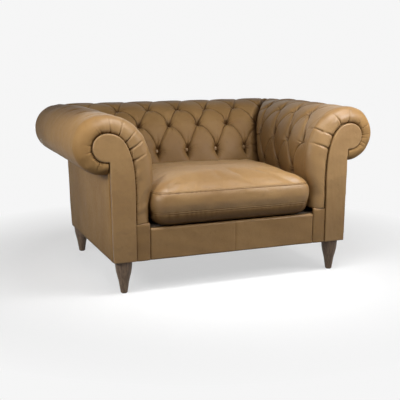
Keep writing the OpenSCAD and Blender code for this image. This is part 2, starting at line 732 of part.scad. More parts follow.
module spring() {
    pts = spring_points();
    n = len(pts);
    rings = [for (k = [0 : n - 1]) spring_ring(pts, k)];
    s = spring_sides;
    walls = [for (k = [0 : n - 2]) for (i = [0 : s - 1])
        let (a = k * s + i, b = k * s + (i + 1) % s)
        each [[a, b, b + s], [a, b + s, a + s]]];
    cap = [for (i = [1 : s - 2]) each [[0, i + 1, i], [(n - 1) * s, (n - 1) * s + i, (n - 1) * s + i + 1]]];
    polyhedron([for (r = rings) each r], concat(walls, cap), convexity = 10);
}
function spring_place(k) = (k - (spring_count - 1) / 2) * spring_gap;
module seat_springs() {
    color(steel) for (k = [0 : spring_count - 1]) translate([spring_place(k), 0, 0]) spring();
}

// Clips hold the springs' ends on the rails: a plate under the wire and a tongue over it
module clip() {
    low = rail_top_z + gap;
    high = wire_z + wire_d / 2 + gap;
    translate([0, 0, low]) linear_extrude(clip_t) square([clip_w, clip_l], center = true);
    translate([0, 0, high]) linear_extrude(clip_t) square([clip_w, clip_l], center = true);
    translate([clip_w / 2 - clip_t / 2, 0, low]) linear_extrude(high - low + clip_t) square([clip_t, clip_l], center = true);
}
module spring_clips() {
    color("gray") for (k = [0 : spring_count - 1]) for (y = [spring_y0 + wire_d, spring_y1 - wire_d])
        translate([spring_place(k), y, 0]) clip();
}

deck_front_y = spring_y0 + wire_d - clip_l / 2 - 2 * gap;
module seat_deck() {
    color("#6b5233") block([-rail_x, deck_front_y, deck_low_z], [rail_x, back_core_y - lining_t, seat_h]);
}

cloth_t = 1;
module dust_cover() {
    color("#2b2b2b") difference() {
        translate([0, 0, leg_h - cloth_t]) linear_extrude(cloth_t) body_plan(panel_t);
        both_sides() for (v = leg_places)
            translate([v[0], v[1], 0]) cylinder(d = leg_top_d + panel_t / 2, h = leg_h + over, $fn = round_n);
        block([-total_w / 2, front_y - over, 0], [total_w / 2, post_front_y, leg_h + over]);
    }
}

// Covered buttons sit in the pits at the crossings of the folds
function arm_nodes() = concat(
    [for (r = [1, 3]) for (k = [1 : 4]) [r, arm_tuft_y + (k - 0.5) * arm_pitch]],
    [for (k = [0 : 3]) [2, arm_tuft_y + k * arm_pitch]]);
dome_n = 5;
button_lift_share = 0.59;
button_lift = button_d * button_lift_share;
module button(place, out) {
    r = button_d / 2;
    ball = (r * r + button_dome * button_dome) / (2 * button_dome);
    translate(place) rotate([0, acos(out[2]), atan2(out[1], out[0])])
        rotate_extrude($fn = round_n) polygon(concat([[0, gap - button_lift]],
            [for (k = [0 : dome_n]) let (turn = asin(r / ball) * (1 - k / dome_n))
                [ball * sin(turn), ball * cos(turn) - ball + button_dome]]));
}
module arm_buttons() {
    ways_at = [0, arm_row_1, arm_row_2, arm_row_3];
    color(dark_leather) for (v = arm_nodes())
        let (t = lookup(ways_at[v[0]], arm_ways),
             u = outline_at(arm_outline(0), t),
             n = outward_at(arm_outline(0), t),
             padding = norm(u - outline_at(arm_outline(pad_t), t)),
             e = u - n * (min(button_depth, padding - button_rest) - button_lift),
             p = lowered([e[0], v[1], e[1]]))
        if (v[1] < face_at(back_outline(0), u[1]) - button_d) button(p, [n[0], 0, n[1]]);
}
module back_buttons() {
    ways_at = [0, back_row_1, back_row_2, back_row_3];
    color(dark_leather) for (r = [1 : 3]) for (k = [-2.5 : 0.5 : 2.5])
        let (whole = k == floor(k))
        if ((r == 2) != whole)
            let (t = lookup(ways_at[r], back_ways),
                 u = outline_at(back_outline(0), t),
                 n = outward_at(back_outline(0), t),
                 e = u - n * (button_depth - button_lift),
                 p = lowered([k * back_pitch, e[0], e[1]]))
            if (abs(p[0]) < face_at(arm_outline(0), u[1]) - button_d) button(p, [0, n[0], n[1]]);
}

// Scroll facing: a flat padded board with a crisp edge
facing_n = 20;
module facing() {
    rows = concat([for (k = [0 : facing_n]) 1 - k / facing_n], [for (k = [1 : facing_n]) -k / facing_n]);
    color(leather) upright(front_y, facing_back_y)
        polygon(concat(row_outline(facing_outline(leg_h, facing_end), rows), [[body_w / 2, leg_h]]));
}

// The strip between a facing and the base front, its front edge rounded
module front_border() {
    inner = base_w / 2 + gap;
    outer = roll_x - facing_in - facing_w - gap;
    mid = (inner + outer) / 2;
    depth = front_set + base_set;
    color(leather) translate([0, 0, leg_h]) linear_extrude(pad_low_z - leg_h - gap)
        polygon(concat([[outer, facing_back_y], [inner, facing_back_y]],
            [for (k = [0 : 8]) let (turn = 180 * k / 8)
                [mid - (outer - inner) / 2 * cos(turn), front_y + depth - (depth - front_set) * sin(turn)]]));
}

// Base front: a padded cover over the front rail, its upper edge rolled back
base_edge_r = 9;
module base_front() {
    y0 = front_y + base_set;
    lip_back = deck_front_y - gap;
    color(leather) across(-base_w / 2, base_w / 2) difference() {
        polygon(concat([[y0, leg_h]],
            [for (k = [0 : 6]) let (turn = 90 * k / 6)
                [y0 + base_edge_r * (1 - cos(turn)), seat_h - base_edge_r * (1 - sin(turn))]],
            [[lip_back, seat_h], [lip_back, leg_h]]));
        translate([facing_back_y, 0]) square([total_d, rail_top_z + gap]);
    }
}

// Outside panels lean out to the underside of the roll
panel_arc_n = 6;
function panel_path(inset, lean) = [for (k = [0 : panel_arc_n])
    let (turn = 90 * k / panel_arc_n, r = corner_r - inset)
    [body_w / 2 + lean - corner_r + r * cos(turn), body_back_y + lean - corner_r + r * sin(turn)]];
function panel_plan(inset, lean) = concat([[body_w / 2 + lean - inset, facing_back_y + gap]], panel_path(inset, lean));
module panel(plan_low_out, plan_low_in, plan_high_out, plan_high_in) {
    n = len(plan_low_out);
    pts = concat([for (v = plan_low_out) [v[0], v[1], leg_h]], [for (v = plan_low_in) [v[0], v[1], leg_h]],
                 [for (v = plan_high_out) [v[0], v[1], panel_top_z]], [for (v = plan_high_in) [v[0], v[1], panel_top_z]]);
    function q(a, b, c, d) = [[a, b, c], [a, c, d]];
    faces = concat(
        [for (k = [0 : n - 2]) each q(k, k + 1, 2 * n + k + 1, 2 * n + k)],
        [for (k = [0 : n - 2]) each q(n + k + 1, n + k, 3 * n + k, 3 * n + k + 1)],
        [for (k = [0 : n - 2]) each q(k + 1, k, n + k, n + k + 1)],
        [for (k = [0 : n - 2]) each q(2 * n + k, 2 * n + k + 1, 3 * n + k + 1, 3 * n + k)],
        q(0, 2 * n, 3 * n, n),
        q(n - 1, 2 * n - 1, 4 * n - 1, 3 * n - 1));
    polyhedron(pts, [for (f = faces) [f[2], f[1], f[0]]], convexity = 6);
}
module outside_arm() {
    color(leather) panel(panel_plan(0, 0), panel_plan(panel_t, 0),
                         panel_plan(0, panel_lean), panel_plan(panel_t, panel_lean));
}
function back_plan(inset, lean) =
    let (x = body_w / 2 - corner_r - gap, y = body_back_y + lean - inset) [[x + lean, y], [-x - lean, y]];
module outside_back() {
    color(leather) panel(back_plan(0, 0), back_plan(panel_t, 0),
                         back_plan(0, panel_lean), back_plan(panel_t, panel_lean));
}

// Seat cushion: rings of a rounded oblong, each with its inset from the seams and
// the share of the height between the levels that it lies between
cushion_corner_n = 5;
cushion_sides = 4 * (cushion_corner_n + 2);
cushion_corner_share = 0.21;
cushion_x = cushion_w / 2 - border_bulge;
cushion_y0 = front_y - cushion_out + border_bulge;
cushion_y1 = front_y - cushion_out + cushion_d - border_bulge;
cushion_mid_y = (cushion_y0 + cushion_y1) / 2;
cushion_half_d = (cushion_y1 - cushion_y0) / 2;
cushion_low_z = seat_h + gap;
function oblong(inset, z) =
    let (hx = cushion_x - inset,
         hy = cushion_half_d - inset,
         r = cushion_half_d * cushion_corner_share,
         signs = [[1, 1], [-1, 1], [-1, -1], [1, -1]])
    [for (q = [0 : 3]) for (k = [0 : cushion_corner_n + 1])
        let (turn = 90 * q + 90 * min(k, cushion_corner_n) / cushion_corner_n,
             c = signs[q],
             v = [c[0] * (hx - r) + r * cos(turn), c[1] * (hy - r) + r * sin(turn)],
             mid = q % 2 == 0 ? [0, v[1]] : [v[0], 0],
             w = k > cushion_corner_n ? mid : v)
        [w[0], cushion_mid_y + w[1], z]];
// Shares: inset as a share of the cushion's half depth, height as a share of its stretch
under_shares = [[0.3, 0], [0.12, 0.14], [0.04, 0.5], [0, 1]];
border_shares = [[-1, 0.27], [-1.4, 0.5], [-1, 0.75]];
crown_shares = [[0, 0], [0.03, 0.34], [0.09, 0.64], [0.2, 0.86], [0.5, 0.98]];
function cushion_rings(t) = concat(
    [for (v = under_shares) oblong(v[0] * cushion_half_d + t, blend(cushion_low_z + t, low_seam_z, v[1]))],
    [for (v = border_shares) oblong(v[0] * border_bulge / 1.4 + t, blend(low_seam_z, high_seam_z, v[1]))],
    [for (v = crown_shares) oblong(v[0] * cushion_half_d + t, blend(high_seam_z, crown_z - t, v[1]))]);
module cushion_form(t) {
    rings = cushion_rings(t);
    n = len(rings);
    s = cushion_sides;
    pts = concat([for (r = rings) each r],
                 [[0, cushion_mid_y, cushion_low_z + t], [0, cushion_mid_y, crown_z - t]]);
    walls = [for (k = [0 : n - 2]) for (i = [0 : s - 1])
        let (a = k * s + i, b = k * s + (i + 1) % s)
        each [[a, b + s, b], [a, a + s, b + s]]];
    caps = [for (i = [0 : s - 1]) let (j = (i + 1) % s)
        each [[n * s, i, j], [n * s + 1, (n - 1) * s + j, (n - 1) * s + i]]];
    polyhedron(pts, concat(walls, caps), convexity = 6);
}
module seat_cushion_cover() {
    color(leather) difference() {
        cushion_form(0);
        cushion_form(cover_t);
    }
}
module seat_cushion_core() {
    color("#e8dfc4") cushion_form(cover_t + gap);
}

left_side() front_leg();  // leg_front_left
front_leg();  // leg_front_right
left_side() rear_leg();  // leg_rear_left
rear_leg();  // leg_rear_right
leg_glides();
hanger_bolts();
tee_nuts();
corner_blocks();
front_rail();
back_rail();
left_side() side_rail();  // side_rail_left
side_rail();  // side_rail_right
centre_stretcher();
left_side() arm_front_post();  // arm_front_post_left
arm_front_post();  // arm_front_post_right
left_side() arm_rear_post();  // arm_rear_post_left
arm_rear_post();  // arm_rear_post_right
left_side() arm_roll_board();  // arm_roll_board_left
arm_roll_board();  // arm_roll_board_right
left_side() arm_tack_rail();  // arm_tack_rail_left
arm_tack_rail();  // arm_tack_rail_right
left_side() back_rib(rib_x);  // back_rib_left
back_rib(0);  // back_rib_centre
back_rib(rib_x);  // back_rib_right
back_roll_board();
back_tack_rails();
left_side() arm_lining();  // arm_lining_left
arm_lining();  // arm_lining_right
back_lining();
seat_springs();
spring_clips();
seat_deck();
dust_cover();
left_side() inside_arm();  // inside_arm_left
inside_arm();  // inside_arm_right
inside_back();
left_side() arm_buttons();  // arm_buttons_left
arm_buttons();  // arm_buttons_right
back_buttons();
left_side() facing();  // facing_left
facing();  // facing_right
left_side() front_border();  // front_border_left
front_border();  // front_border_right
left_side() outside_arm();  // outside_arm_left
outside_arm();  // outside_arm_right
outside_back();
base_front();
seat_cushion_cover();
seat_cushion_core();
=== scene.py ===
"""Looks for the chesterfield snuggler chair: leather pads, cushion, panels, legs and a plain stage."""

import math

import bmesh
import bpy
import numpy as np
from bpy.props import FloatProperty, FloatVectorProperty, PointerProperty
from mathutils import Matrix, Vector


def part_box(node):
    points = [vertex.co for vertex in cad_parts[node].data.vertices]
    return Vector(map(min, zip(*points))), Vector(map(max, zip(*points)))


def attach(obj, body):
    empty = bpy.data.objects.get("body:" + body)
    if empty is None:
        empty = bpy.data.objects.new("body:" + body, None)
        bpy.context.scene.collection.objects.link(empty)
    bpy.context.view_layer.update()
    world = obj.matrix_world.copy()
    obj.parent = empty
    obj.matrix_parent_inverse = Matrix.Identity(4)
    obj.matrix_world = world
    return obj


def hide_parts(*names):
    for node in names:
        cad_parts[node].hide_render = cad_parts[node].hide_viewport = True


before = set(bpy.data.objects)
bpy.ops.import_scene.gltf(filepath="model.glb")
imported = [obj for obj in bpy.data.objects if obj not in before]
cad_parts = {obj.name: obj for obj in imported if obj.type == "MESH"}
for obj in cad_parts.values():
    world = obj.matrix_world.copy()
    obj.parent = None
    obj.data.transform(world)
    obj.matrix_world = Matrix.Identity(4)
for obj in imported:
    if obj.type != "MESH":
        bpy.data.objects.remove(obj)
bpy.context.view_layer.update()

bl_info = {
    "name": "Chesterfield snuggler chair",
    "version": (1, 0, 0),
    "blender": (4, 5, 0),
    "location": "View3D > Sidebar > Chair",
    "description": "Builds the leather, buttons, cushion and legs of a chesterfield snuggler chair",
    "category": "Add Mesh",
}


def length(name, default, description):
    return FloatProperty(name=name, description=description, default=default, min=0.0, unit="LENGTH")


def colour(name, default, description):
    return FloatVectorProperty(name=name, description=description, default=default, size=3,
                               subtype="COLOR", min=0.0, max=1.0)


# ---------------------------------------------------------------- sizes and colours

class BodySizes(bpy.types.PropertyGroup):
    """Sizes of the chair's body, the same as in the CAD source."""
    total_w: length("Width", 1.326, "Width across the two rolled arms")
    total_d: length("Depth", 0.940, "Depth from the cushion's front to the rear of the back roll")
    arm_h: length("Arm height", 0.714, "Height of the arm rolls above the floor")
    back_drop: length("Back drop", 0.010, "How much lower the back roll stands than the arm rolls")
    leg_h: length("Leg height", 0.133, "Height of the body's lower edge above the floor")
    arm_w: length("Arm width", 0.320, "Width of an arm from the roll's outside to its fullest inside")
    roll_over: length("Roll overhang", 0.025, "How far the rolls' centres lie outside the body")
    roll_r: length("Roll radius", 0.117, "Radius of the padded roll")
    seat_d: length("Seat depth", 0.516, "Depth from the facings' front to the fullest inside back")
    arm_belly_z: length("Arm belly", 0.470, "Height at which the inside arms are fullest")
    back_belly_z: length("Back belly", 0.360, "Height at which the inside back is fullest")
    arm_recess: length("Arm recess", 0.022, "How far the inside arms draw back beside the cushion")
    pad_t: length("Padding", 0.052, "Thickness of the padding over its lining")
    pad_low_z: length("Pad lower edge", 0.285, "Height of the pads' lower edge")
    corner_r: length("Corner radius", 0.056, "Radius of the body's rear corners")
    panel_lean: length("Panel lean", 0.012, "How far the outside panels lean out from bottom to top")
    panel_t: length("Panel thickness", 0.006, "Thickness of an outside panel")


class ButtonSizes(bpy.types.PropertyGroup):
    """Sizes of the deep buttoning."""
    back_pitch: length("Back pitch", 0.1485, "Distance between buttons along a row of the back")
    arm_pitch: length("Arm pitch", 0.140, "Distance between buttons along a row of an arm")
    fold_depth: length("Fold depth", 0.0135, "Depth of the folds between two buttons")
    tuft_front: length("First button", 0.109, "Distance from the facing's front to the foremost button")
    pit_depth: length("Pit depth", 0.042, "Depth of the leather's pit under a button")
    button_d: length("Button diameter", 0.018, "Diameter of a covered button")
    button_dome: length("Button dome", 0.005, "Height of a button's dome")
    pucker: length("Puckers", 0.0042, "Height of the small folds round each button")


class FacingSizes(bpy.types.PropertyGroup):
    """Sizes of the scroll facings and of the pads that round to them."""
    facing_r: length("Scroll radius", 0.055, "Radius of the facing's scroll")
    facing_low: length("Scroll drop", 0.007, "How far the scroll lies below the roll's centre")
    facing_in: length("Scroll inset", 0.006, "How far the scroll lies inward of the roll's centre")
    facing_w: length("Facing width", 0.112, "Width from the scroll's centre to the facing's inner edge")
    facing_bend_z: length("Facing bend", 0.400, "Height where the facing's inner edge turns straight")
    facing_t: length("Facing thickness", 0.020, "Thickness of a facing")
    front_round: length("Front rounding", 0.050, "Depth over which an arm pad rounds to its facing")
    front_set: length("Front setback", 0.004, "How far the rounded pad stays behind the facing")
    base_set: length("Base setback", 0.007, "How far the base front lies behind the facings")


class CushionSizes(bpy.types.PropertyGroup):
    """Sizes of the loose seat cushion and the seat under it."""
    seat_h: length("Seat height", 0.261, "Height of the seat deck")
    base_over: length("Base overlap", 0.026, "How far the base front reaches past the clear width")
    under: length("Cushion under arms", 0.015, "How far the cushion reaches under the fullest arm")
    back_gap: length("Cushion clearance", 0.004, "Clearance between the cushion and the back")
    out: length("Cushion overhang", 0.014, "Overhang of the cushion in front of the facings")
    low_seam_z: length("Lower seam", 0.318, "Height of the cushion's lower seam")
    high_seam_z: length("Upper seam", 0.400, "Height of the cushion's upper seam")
    crown_z: length("Crown", 0.452, "Height of the cushion's crown")
    border_bulge: length("Border bulge", 0.004, "How far the border bulges past its seams")


class Finishes(bpy.types.PropertyGroup):
    """Colours of the leather, wood and stage."""
    leather_light: colour("Leather light", (0.356, 0.211, 0.085), "Leather where it is rubbed and full")
    leather_mid: colour("Leather", (0.292, 0.166, 0.064), "Leather over most of the chair")
    # leather_dark is the colour that the painted shade mixes in: folds, seams, pits, recesses
    leather_dark: colour("Leather dark", (0.070, 0.032, 0.011), "Leather deep in the folds and seams")
    wood_light: colour("Wood light", (0.380, 0.262, 0.175), "Light grain of the legs")
    wood_dark: colour("Wood dark", (0.165, 0.110, 0.074), "Dark grain of the legs")
    floor: colour("Floor", (0.96, 0.96, 0.96), "Colour of the floor and backdrop")


def sizes(group):
    return getattr(bpy.context.scene, "snuggler_" + group)


# ---------------------------------------------------------------- numbers and curves

# Gaps at seams, at the mitres of the inner corners, and between pieces that touch
SEAM_GAP, MITRE_GAP, GAP = 0.0014, 0.0015, 0.0003
# The inside face's share of t, and the share of the run below it over which the pad draws back
FACE_SHARE, RECESS_SHARE = 0.75, 0.7
# How full the curves of the arms, the back and the facings are: 2 is a plain ellipse
ARM_FULL, BACK_FULL, FACING_FULL = 2.2, 2.05, 2.5
# Way of the button rows down over the pad from the roll's top, and how many rows the way
# out over the roll counts for
ROWS = 3
ROW_WAYS = {"arm": (0.121, 0.267, 0.401), "back": (0.126, 0.246, 0.371)}
ROLL_ROWS = 8 / 3
# Size of a mesh cell of the buttoned skins and of the facings
GRID = 0.0032
# Thickness of the linings, and how far under the roll's centre the outside panels end, in radii
LINING_T = 0.004
PANEL_TOP_SHARE = 0.55
# The bends of the inner corners turn about points this part of a roll's radius inside its centre
ARC_PART = 14
# Number of waves that add up to an unevenness
RIPPLES = 14


def ease(v):
    c = np.clip(v, 0.0, 1.0)
    return c * c * (3 - 2 * c)


def mix(a, b, s):
    return a + (b - a) * s


def smooth_max(a, b, soft):
    h = np.clip(0.5 + 0.5 * (a - b) / soft, 0, 1)
    return b + (a - b) * h + soft * h * (1 - h)


def ripples(u, v, seed, wave):
    """Gentle unevenness from -1 to 1: a sum of seeded waves about `wave` metres long."""
    rng = np.random.RandomState(seed)
    total = np.zeros(np.broadcast(u, v).shape)
    for _ in range(RIPPLES):
        turn = rng.uniform(0, 2 * math.pi)
        k = 2 * math.pi / (wave * rng.uniform(0.6, 1.7))
        total += np.cos(k * (u * math.cos(turn) + v * math.sin(turn)) + rng.uniform(0, 2 * math.pi))
    return total / math.sqrt(RIPPLES) * 0.7


class Section:
    """Section of a padded roll: t runs from 1 at the lower inside edge through 0 at
    the roll's top to -1 where the roll ends under the overhang."""

    def __init__(self, centre, centre_z, radius, reach, belly, full, recess, low, end):
        self.centre, self.centre_z, self.radius, self.reach = centre, centre_z, radius, reach
        self.belly, self.full, self.recess, self.low, self.end = belly, full, recess, low, end
        fine = np.linspace(0, 1, 600)
        u, z = self.at(fine)
        step = np.hypot(np.diff(u), np.diff(z))
        self._t, self._way = fine, np.concatenate([[0], np.cumsum(step)])
        self.way_low = self._way[-1]

    def at(self, t):
        t = np.asarray(t, float)
        top = self.centre_z + self.radius - self.belly
        turn = np.clip(t / FACE_SHARE, 0, 1) * math.pi / 2
        u_face = self.centre - self.reach * np.sin(turn) ** (2 / self.full)
        z_face = self.belly + top * np.clip(np.cos(turn), 0, 1) ** (2 / self.full)
        s = np.clip((t - FACE_SHARE) / (1 - FACE_SHARE), 0, 1)
        u_low = self.centre - self.reach + self.recess * ease(s / RECESS_SHARE)
        z_low = self.belly + (self.low - self.belly) * s
        roll = np.clip(-t, 0, 1) * math.radians(self.end)
        u_roll = self.centre + self.radius * np.sin(roll)
        z_roll = self.centre_z + self.radius * np.cos(roll)
        u = np.where(t < 0, u_roll, np.where(t <= FACE_SHARE, u_face, u_low))
        z = np.where(t < 0, z_roll, np.where(t <= FACE_SHARE, z_face, z_low))
        return u, z

    def outward(self, t):
        tiny = 0.004
        ua, za = self.at(np.minimum(1, t + tiny))
        ub, zb = self.at(np.maximum(-1, t - tiny))
        du, dz = ub - ua, zb - za
        n = np.hypot(du, dz)
        return -dz / n, du / n

    def face(self, z):
        """Place of the inside face at height z."""
        s = np.clip((z - self.belly) / (self.centre_z + self.radius - self.belly), 0, 1)
        r = np.clip((self.belly - z) / (self.belly - self.low), 0, 1)
        return self.centre - self.reach * (1 - s ** self.full) ** (1 / self.full) \
            + self.recess * ease(r / RECESS_SHARE)

    def t_at(self, way):
        """t at a way over the pad from the roll's top; a negative way goes out over the roll."""
        way = np.asarray(way, float)
        inside = np.interp(way, self._way, self._t)
        return np.where(way < 0, way / (self.radius * math.radians(self.end)), inside)

    def way_at(self, t):
        inside = np.interp(t, self._t, self._way)
        return np.where(t < 0, t * self.radius * math.radians(self.end), inside)


class Places:
    """Places that follow from the sizes."""

    def __init__(self):
        b, k, f, c = sizes("body"), sizes("buttons"), sizes("facings"), sizes("cushion")
        self.front_y = c.out - b.total_d / 2
        self.roll_x = b.total_w / 2 - b.roll_r
        self.roll_y = b.total_d / 2 - b.roll_r
        self.roll_z = b.arm_h - b.roll_r
        self.body_w = 2 * (self.roll_x - b.roll_over)
        self.body_back_y = self.roll_y - b.roll_over
        self.seat_w = b.total_w - 2 * b.arm_w
        self.base_w = self.seat_w + 2 * c.base_over
        self.facing_back_y = self.front_y + f.facing_t
        self.back_face_y = self.front_y + b.seat_d
        self.back_core_y = self.back_face_y + b.pad_t + LINING_T + 2 * GAP
        self.roll_end = 180 + math.degrees(math.asin((b.roll_over - b.panel_lean - GAP) / b.roll_r))
        self.arc_x = self.roll_x - b.roll_r / ARC_PART
        self.arc_y = self.roll_y - b.roll_r / ARC_PART
        self.tuft_y = self.front_y + k.tuft_front
        self.full_y = self.front_y + f.front_set + f.front_round
        self.panel_top_z = self.roll_z - b.roll_r * PANEL_TOP_SHARE

    def arm(self, inset=0.0):
        b = sizes("body")
        return Section(self.roll_x, self.roll_z, b.roll_r - inset, self.roll_x - self.seat_w / 2 - inset,
                       b.arm_belly_z, ARM_FULL, b.arm_recess * max(0, 1 - inset / b.pad_t),
                       b.pad_low_z, self.roll_end)

    def back(self, inset=0.0):
        b = sizes("body")
        return Section(self.roll_y, self.roll_z, b.roll_r - inset, self.roll_y - self.back_face_y - inset,
                       b.back_belly_z, BACK_FULL, 0, b.pad_low_z, self.roll_end)

    def facing(self, low, end):
        f = sizes("facings")
        return Section(self.roll_x - f.facing_in, self.roll_z - f.facing_low, f.facing_r, f.facing_w,
                       f.facing_bend_z, FACING_FULL, 0, low, end)

    def lowered(self, x, y, z):
        """The back stands a little lower than the arms, and the arms ease down to it."""
        b = sizes("body")
        s = ease((y - self.back_core_y) / (self.roll_y - b.roll_r - self.back_core_y))
        h = np.clip((z - b.arm_belly_z) / (b.arm_h - b.arm_belly_z), 0, 1)
        return np.stack(np.broadcast_arrays(x, y, z - b.back_drop * s * h), axis=-1)


# ---------------------------------------------------------------- deep buttoning

# How strongly the folds bow in each row: folds that run down and back along the row,
# then folds that run down and on along it
BOWS = {"arm": ((0.45, 0.60, 0.50), (0.45, 0.60, 0.50)),
        "back": ((0.30, 0.25, 0.20), (0.55, 0.92, 0.66))}
# Form of the folds in pitches: width of a crease, how much the form is creased and not
# domed, how full the domes are, and width and form of the pits; then how unlike the domes are
CREASE_WIDTH, CREASE_SHARE, BULGE_POWER = 0.028, 0.52, 0.55
PIT_WIDTH, PIT_POWER = 0.085, 1.1
BULGE_VARY = 0.0016
# Share of the depth that is kept at the roll's top and lost under the lowest row
TOP_KEPT, LOW_LOST = 0.25, 0.5
# Rows over which the folds run out: over the roll, and from and to below the lowest row
VALLEY_END, LOW_START, LOW_END = 0.60, 0.02, 0.30
# Painted shade as a dark line in a fold: width and gain. Painted shade as a dark patch round a button: form
# and gain
LINE_WIDTH, LINE_GAIN = 0.018, 1.3
PATCH_POWER, PATCH_GAIN = 1.4, 1.1
# Unevenness of the folds' places, in pitches, and of the skins, each with its wave
UNEVEN, UNEVEN_WAVE = 0.02, 0.11
SKIN_WAVES, SKIN_WAVE = 0.0005, 0.09
# How far a full skin stands out past its outline, how softly a fold meets a corner, and the
# share of the section's t over which a skin settles to its lower edge
SKIN_LIFT, SKIN_SOFT, SKIN_EDGE = 0.001, 0.004, 0.02


def row_number(section, t, ways):
    """Place of t counted in button rows: 0 at the roll's top, below 0 out over the roll."""
    inside = np.interp(section.way_at(np.maximum(t, 0)), [0, *ways, section.way_low], [0, 1, 2, 3, 4])
    return np.where(t < 0, ROLL_ROWS * t, inside)


def bowed(r, bows):
    """Row numbers drawn so that a fold leaves its upper button nearly level and drops
    steeply into the next one, as heavy padding makes it."""
    rc = np.clip(r, 0, ROWS)
    base = np.minimum(np.floor(rc), ROWS - 1)
    f = rc - base
    arc = np.sqrt(np.maximum(0, 1 - (1 - f) ** 2))
    return base + mix(f, arc, np.choose(base.astype(int), bows))


def crease_way(v):
    """Distance from the nearest fold of a diagonal coordinate, from 0 to 0.5."""
    return np.abs(v - 0.5 - np.round(v - 0.5))


def tuft(c, r, plain_front, seed, bows):
    """Depth of the buttoned surface below its full outline, and the shade painted in its folds and round its
    buttons.
    c counts pitches along the row and r counts rows; before the first buttons a plain front
    has no folds."""
    k = sizes("buttons")
    p, q = c + bowed(r, bows[0]) / 2, c - bowed(r, bows[1]) / 2
    if plain_front:
        out = np.where(r < 1, 0.5 - q, np.maximum(ROWS / 2 - p, -0.5 - q))
    else:
        out = -np.ones_like(p)
    open_side = ease(np.maximum(0, out) / 0.5)
    dp, dq = (np.where(out > 0, mix(way, 0.5, open_side), way) for way in (crease_way(p), crease_way(q)))
    near = np.where(r < 1, mix(TOP_KEPT, 1, np.maximum(0, r)), 1 - LOW_LOST * ease(r - ROWS))
    fade = np.where(r < 0, 1 - ease(-r / VALLEY_END), 1 - ease((r - ROWS - LOW_START) / LOW_END))
    deep = k.pit_depth * near
    fold = np.minimum(deep, k.fold_depth * np.maximum(near, 0.5))
    lip = (1 - np.exp(-dp / CREASE_WIDTH)) * (1 - np.exp(-dq / CREASE_WIDTH))
    dome = (np.sin(math.pi * dp) * np.sin(math.pi * dq)) ** BULGE_POWER
    pit = np.exp(-(np.maximum(dp, dq) / PIT_WIDTH) ** PIT_POWER)
    vary = np.random.RandomState(seed).uniform(-1, 1, (64, 64))
    height = vary[np.floor(p - 0.5).astype(int) % 64, np.floor(q - 0.5).astype(int) % 64] * BULGE_VARY
    depth = fold * (1 - mix(dome, lip, CREASE_SHARE)) + (deep - fold) * pit
    depth = np.maximum(0, depth) * fade - height * dome * fade
    # Painted shade: a dark line along each fold and a dark patch round each button's pit
    line = np.exp(-np.minimum(dp, dq) / LINE_WIDTH) * fade * np.clip(near * LINE_GAIN, 0, 1)
    patch = np.exp(-(np.maximum(dp, dq) / PIT_WIDTH) ** PATCH_POWER)
    return depth, np.clip(line + PATCH_GAIN * patch * fade * near, 0, 1)


# Puckers round a button: where they start, over what way they rise and where they are full;
# how far they reach, how much further up the pad, and how uneven that is round the button
PUCKER_START, PUCKER_RISE, PUCKER_FULL = 0.007, 0.006, 0.012
PUCKER_REACH, PUCKER_UP, PUCKER_OVAL = 0.017, 0.009, 0.005


def puckers(way, along, nodes, seed):
    """Height of the small folds that run out from each button."""
    k = sizes("buttons")
    rng = np.random.RandomState(seed)
    depth = np.zeros(way.shape)
    for node_way, node_along in nodes:
        dw, da = way - node_way, along - node_along
        dist = np.hypot(dw, da)
        turn = np.arctan2(da, dw)
        count = rng.randint(8, 12)
        shifts = rng.uniform(0, 2 * math.pi, 3)
        turn = turn + 0.28 * np.sin(2 * turn + shifts[0]) + 0.18 * np.sin(3 * turn + shifts[1])
        lines = 1 - np.abs(np.sin(count * turn / 2 + shifts[2])) ** 0.7
        reach = PUCKER_REACH + PUCKER_UP * np.clip(-np.cos(turn), 0, 1) \
            + PUCKER_OVAL * np.cos(2 * turn + shifts[1])
        depth += k.pucker * lines * ease((dist - PUCKER_START) / PUCKER_RISE) \
            * np.exp(-np.maximum(0, dist - PUCKER_FULL) / reach)
    return depth


def creases(way, along, lines):
    """Depth of listed creases: each line is (way, along) to (way, along), depth, width."""
    depth = np.zeros(way.shape)
    for w0, a0, w1, a1, deep, width in lines:
        dw, da = w1 - w0, a1 - a0
        s = np.clip(((way - w0) * dw + (along - a0) * da) / (dw * dw + da * da), 0, 1)
        dist = np.hypot(way - w0 - s * dw, along - a0 - s * da)
        depth += deep * (1 - 0.85 * s) * np.exp(-(dist / (0.45 * width)) ** 1.3)
    return depth


def buttoned(section, kind, t, c, along, nodes, seed):
    """Depth, painted shade and puckers of the buttoned part of a skin. c counts pitches along a
    row, along is the place along it, and nodes are (row, place) of the buttons."""
    way = section.way_at(t) + 0 * c
    uneven = ripples(way, along, seed + 2, UNEVEN_WAVE) * UNEVEN
    row = row_number(section, t, ROW_WAYS[kind]) + 0 * c
    depth, dark = tuft(c + uneven, row, kind == "arm", seed + 3, BOWS[kind])
    spots = [(section.way_at(section.t_at(ROW_WAYS[kind][n - 1])), at) for n, at in nodes]
    return depth, dark, puckers(way, along, spots, seed + 4)


def skin_sink(depth, corner, wrinkle, way, along, seed, t):
    """How far a skin lies below its full outline."""
    waves = SKIN_WAVES * ripples(way, along, seed + 5, SKIN_WAVE)
    return (smooth_max(depth, corner, SKIN_SOFT) - SKIN_LIFT + wrinkle - waves) * ease((1 - t) / SKIN_EDGE)


def mitre_turn(rad):
    """Angle through which a roll bends before its mitre, at a radius from the bend's centre."""
    kept_back = np.arcsin(np.clip(MITRE_GAP / np.maximum(MITRE_GAP, rad), 0, 1))
    return np.where(rad > 0, math.pi / 4 - kept_back, 0)


def bend_at(rad, beyond):
    """Angle that a way beyond the straight run has turned round the bend."""
    return np.where(rad > 0, np.maximum(0, beyond) / np.maximum(rad, 1e-6), 0)


def corner_sink(rad, left):
    """Depth of the rounding of a mitred edge, at a way before the mitre."""
    return np.where(rad > 0, OUTER_CORNER_DEPTH, CORNER_DEPTH) * (1 - ease(left / CORNER_WAY))


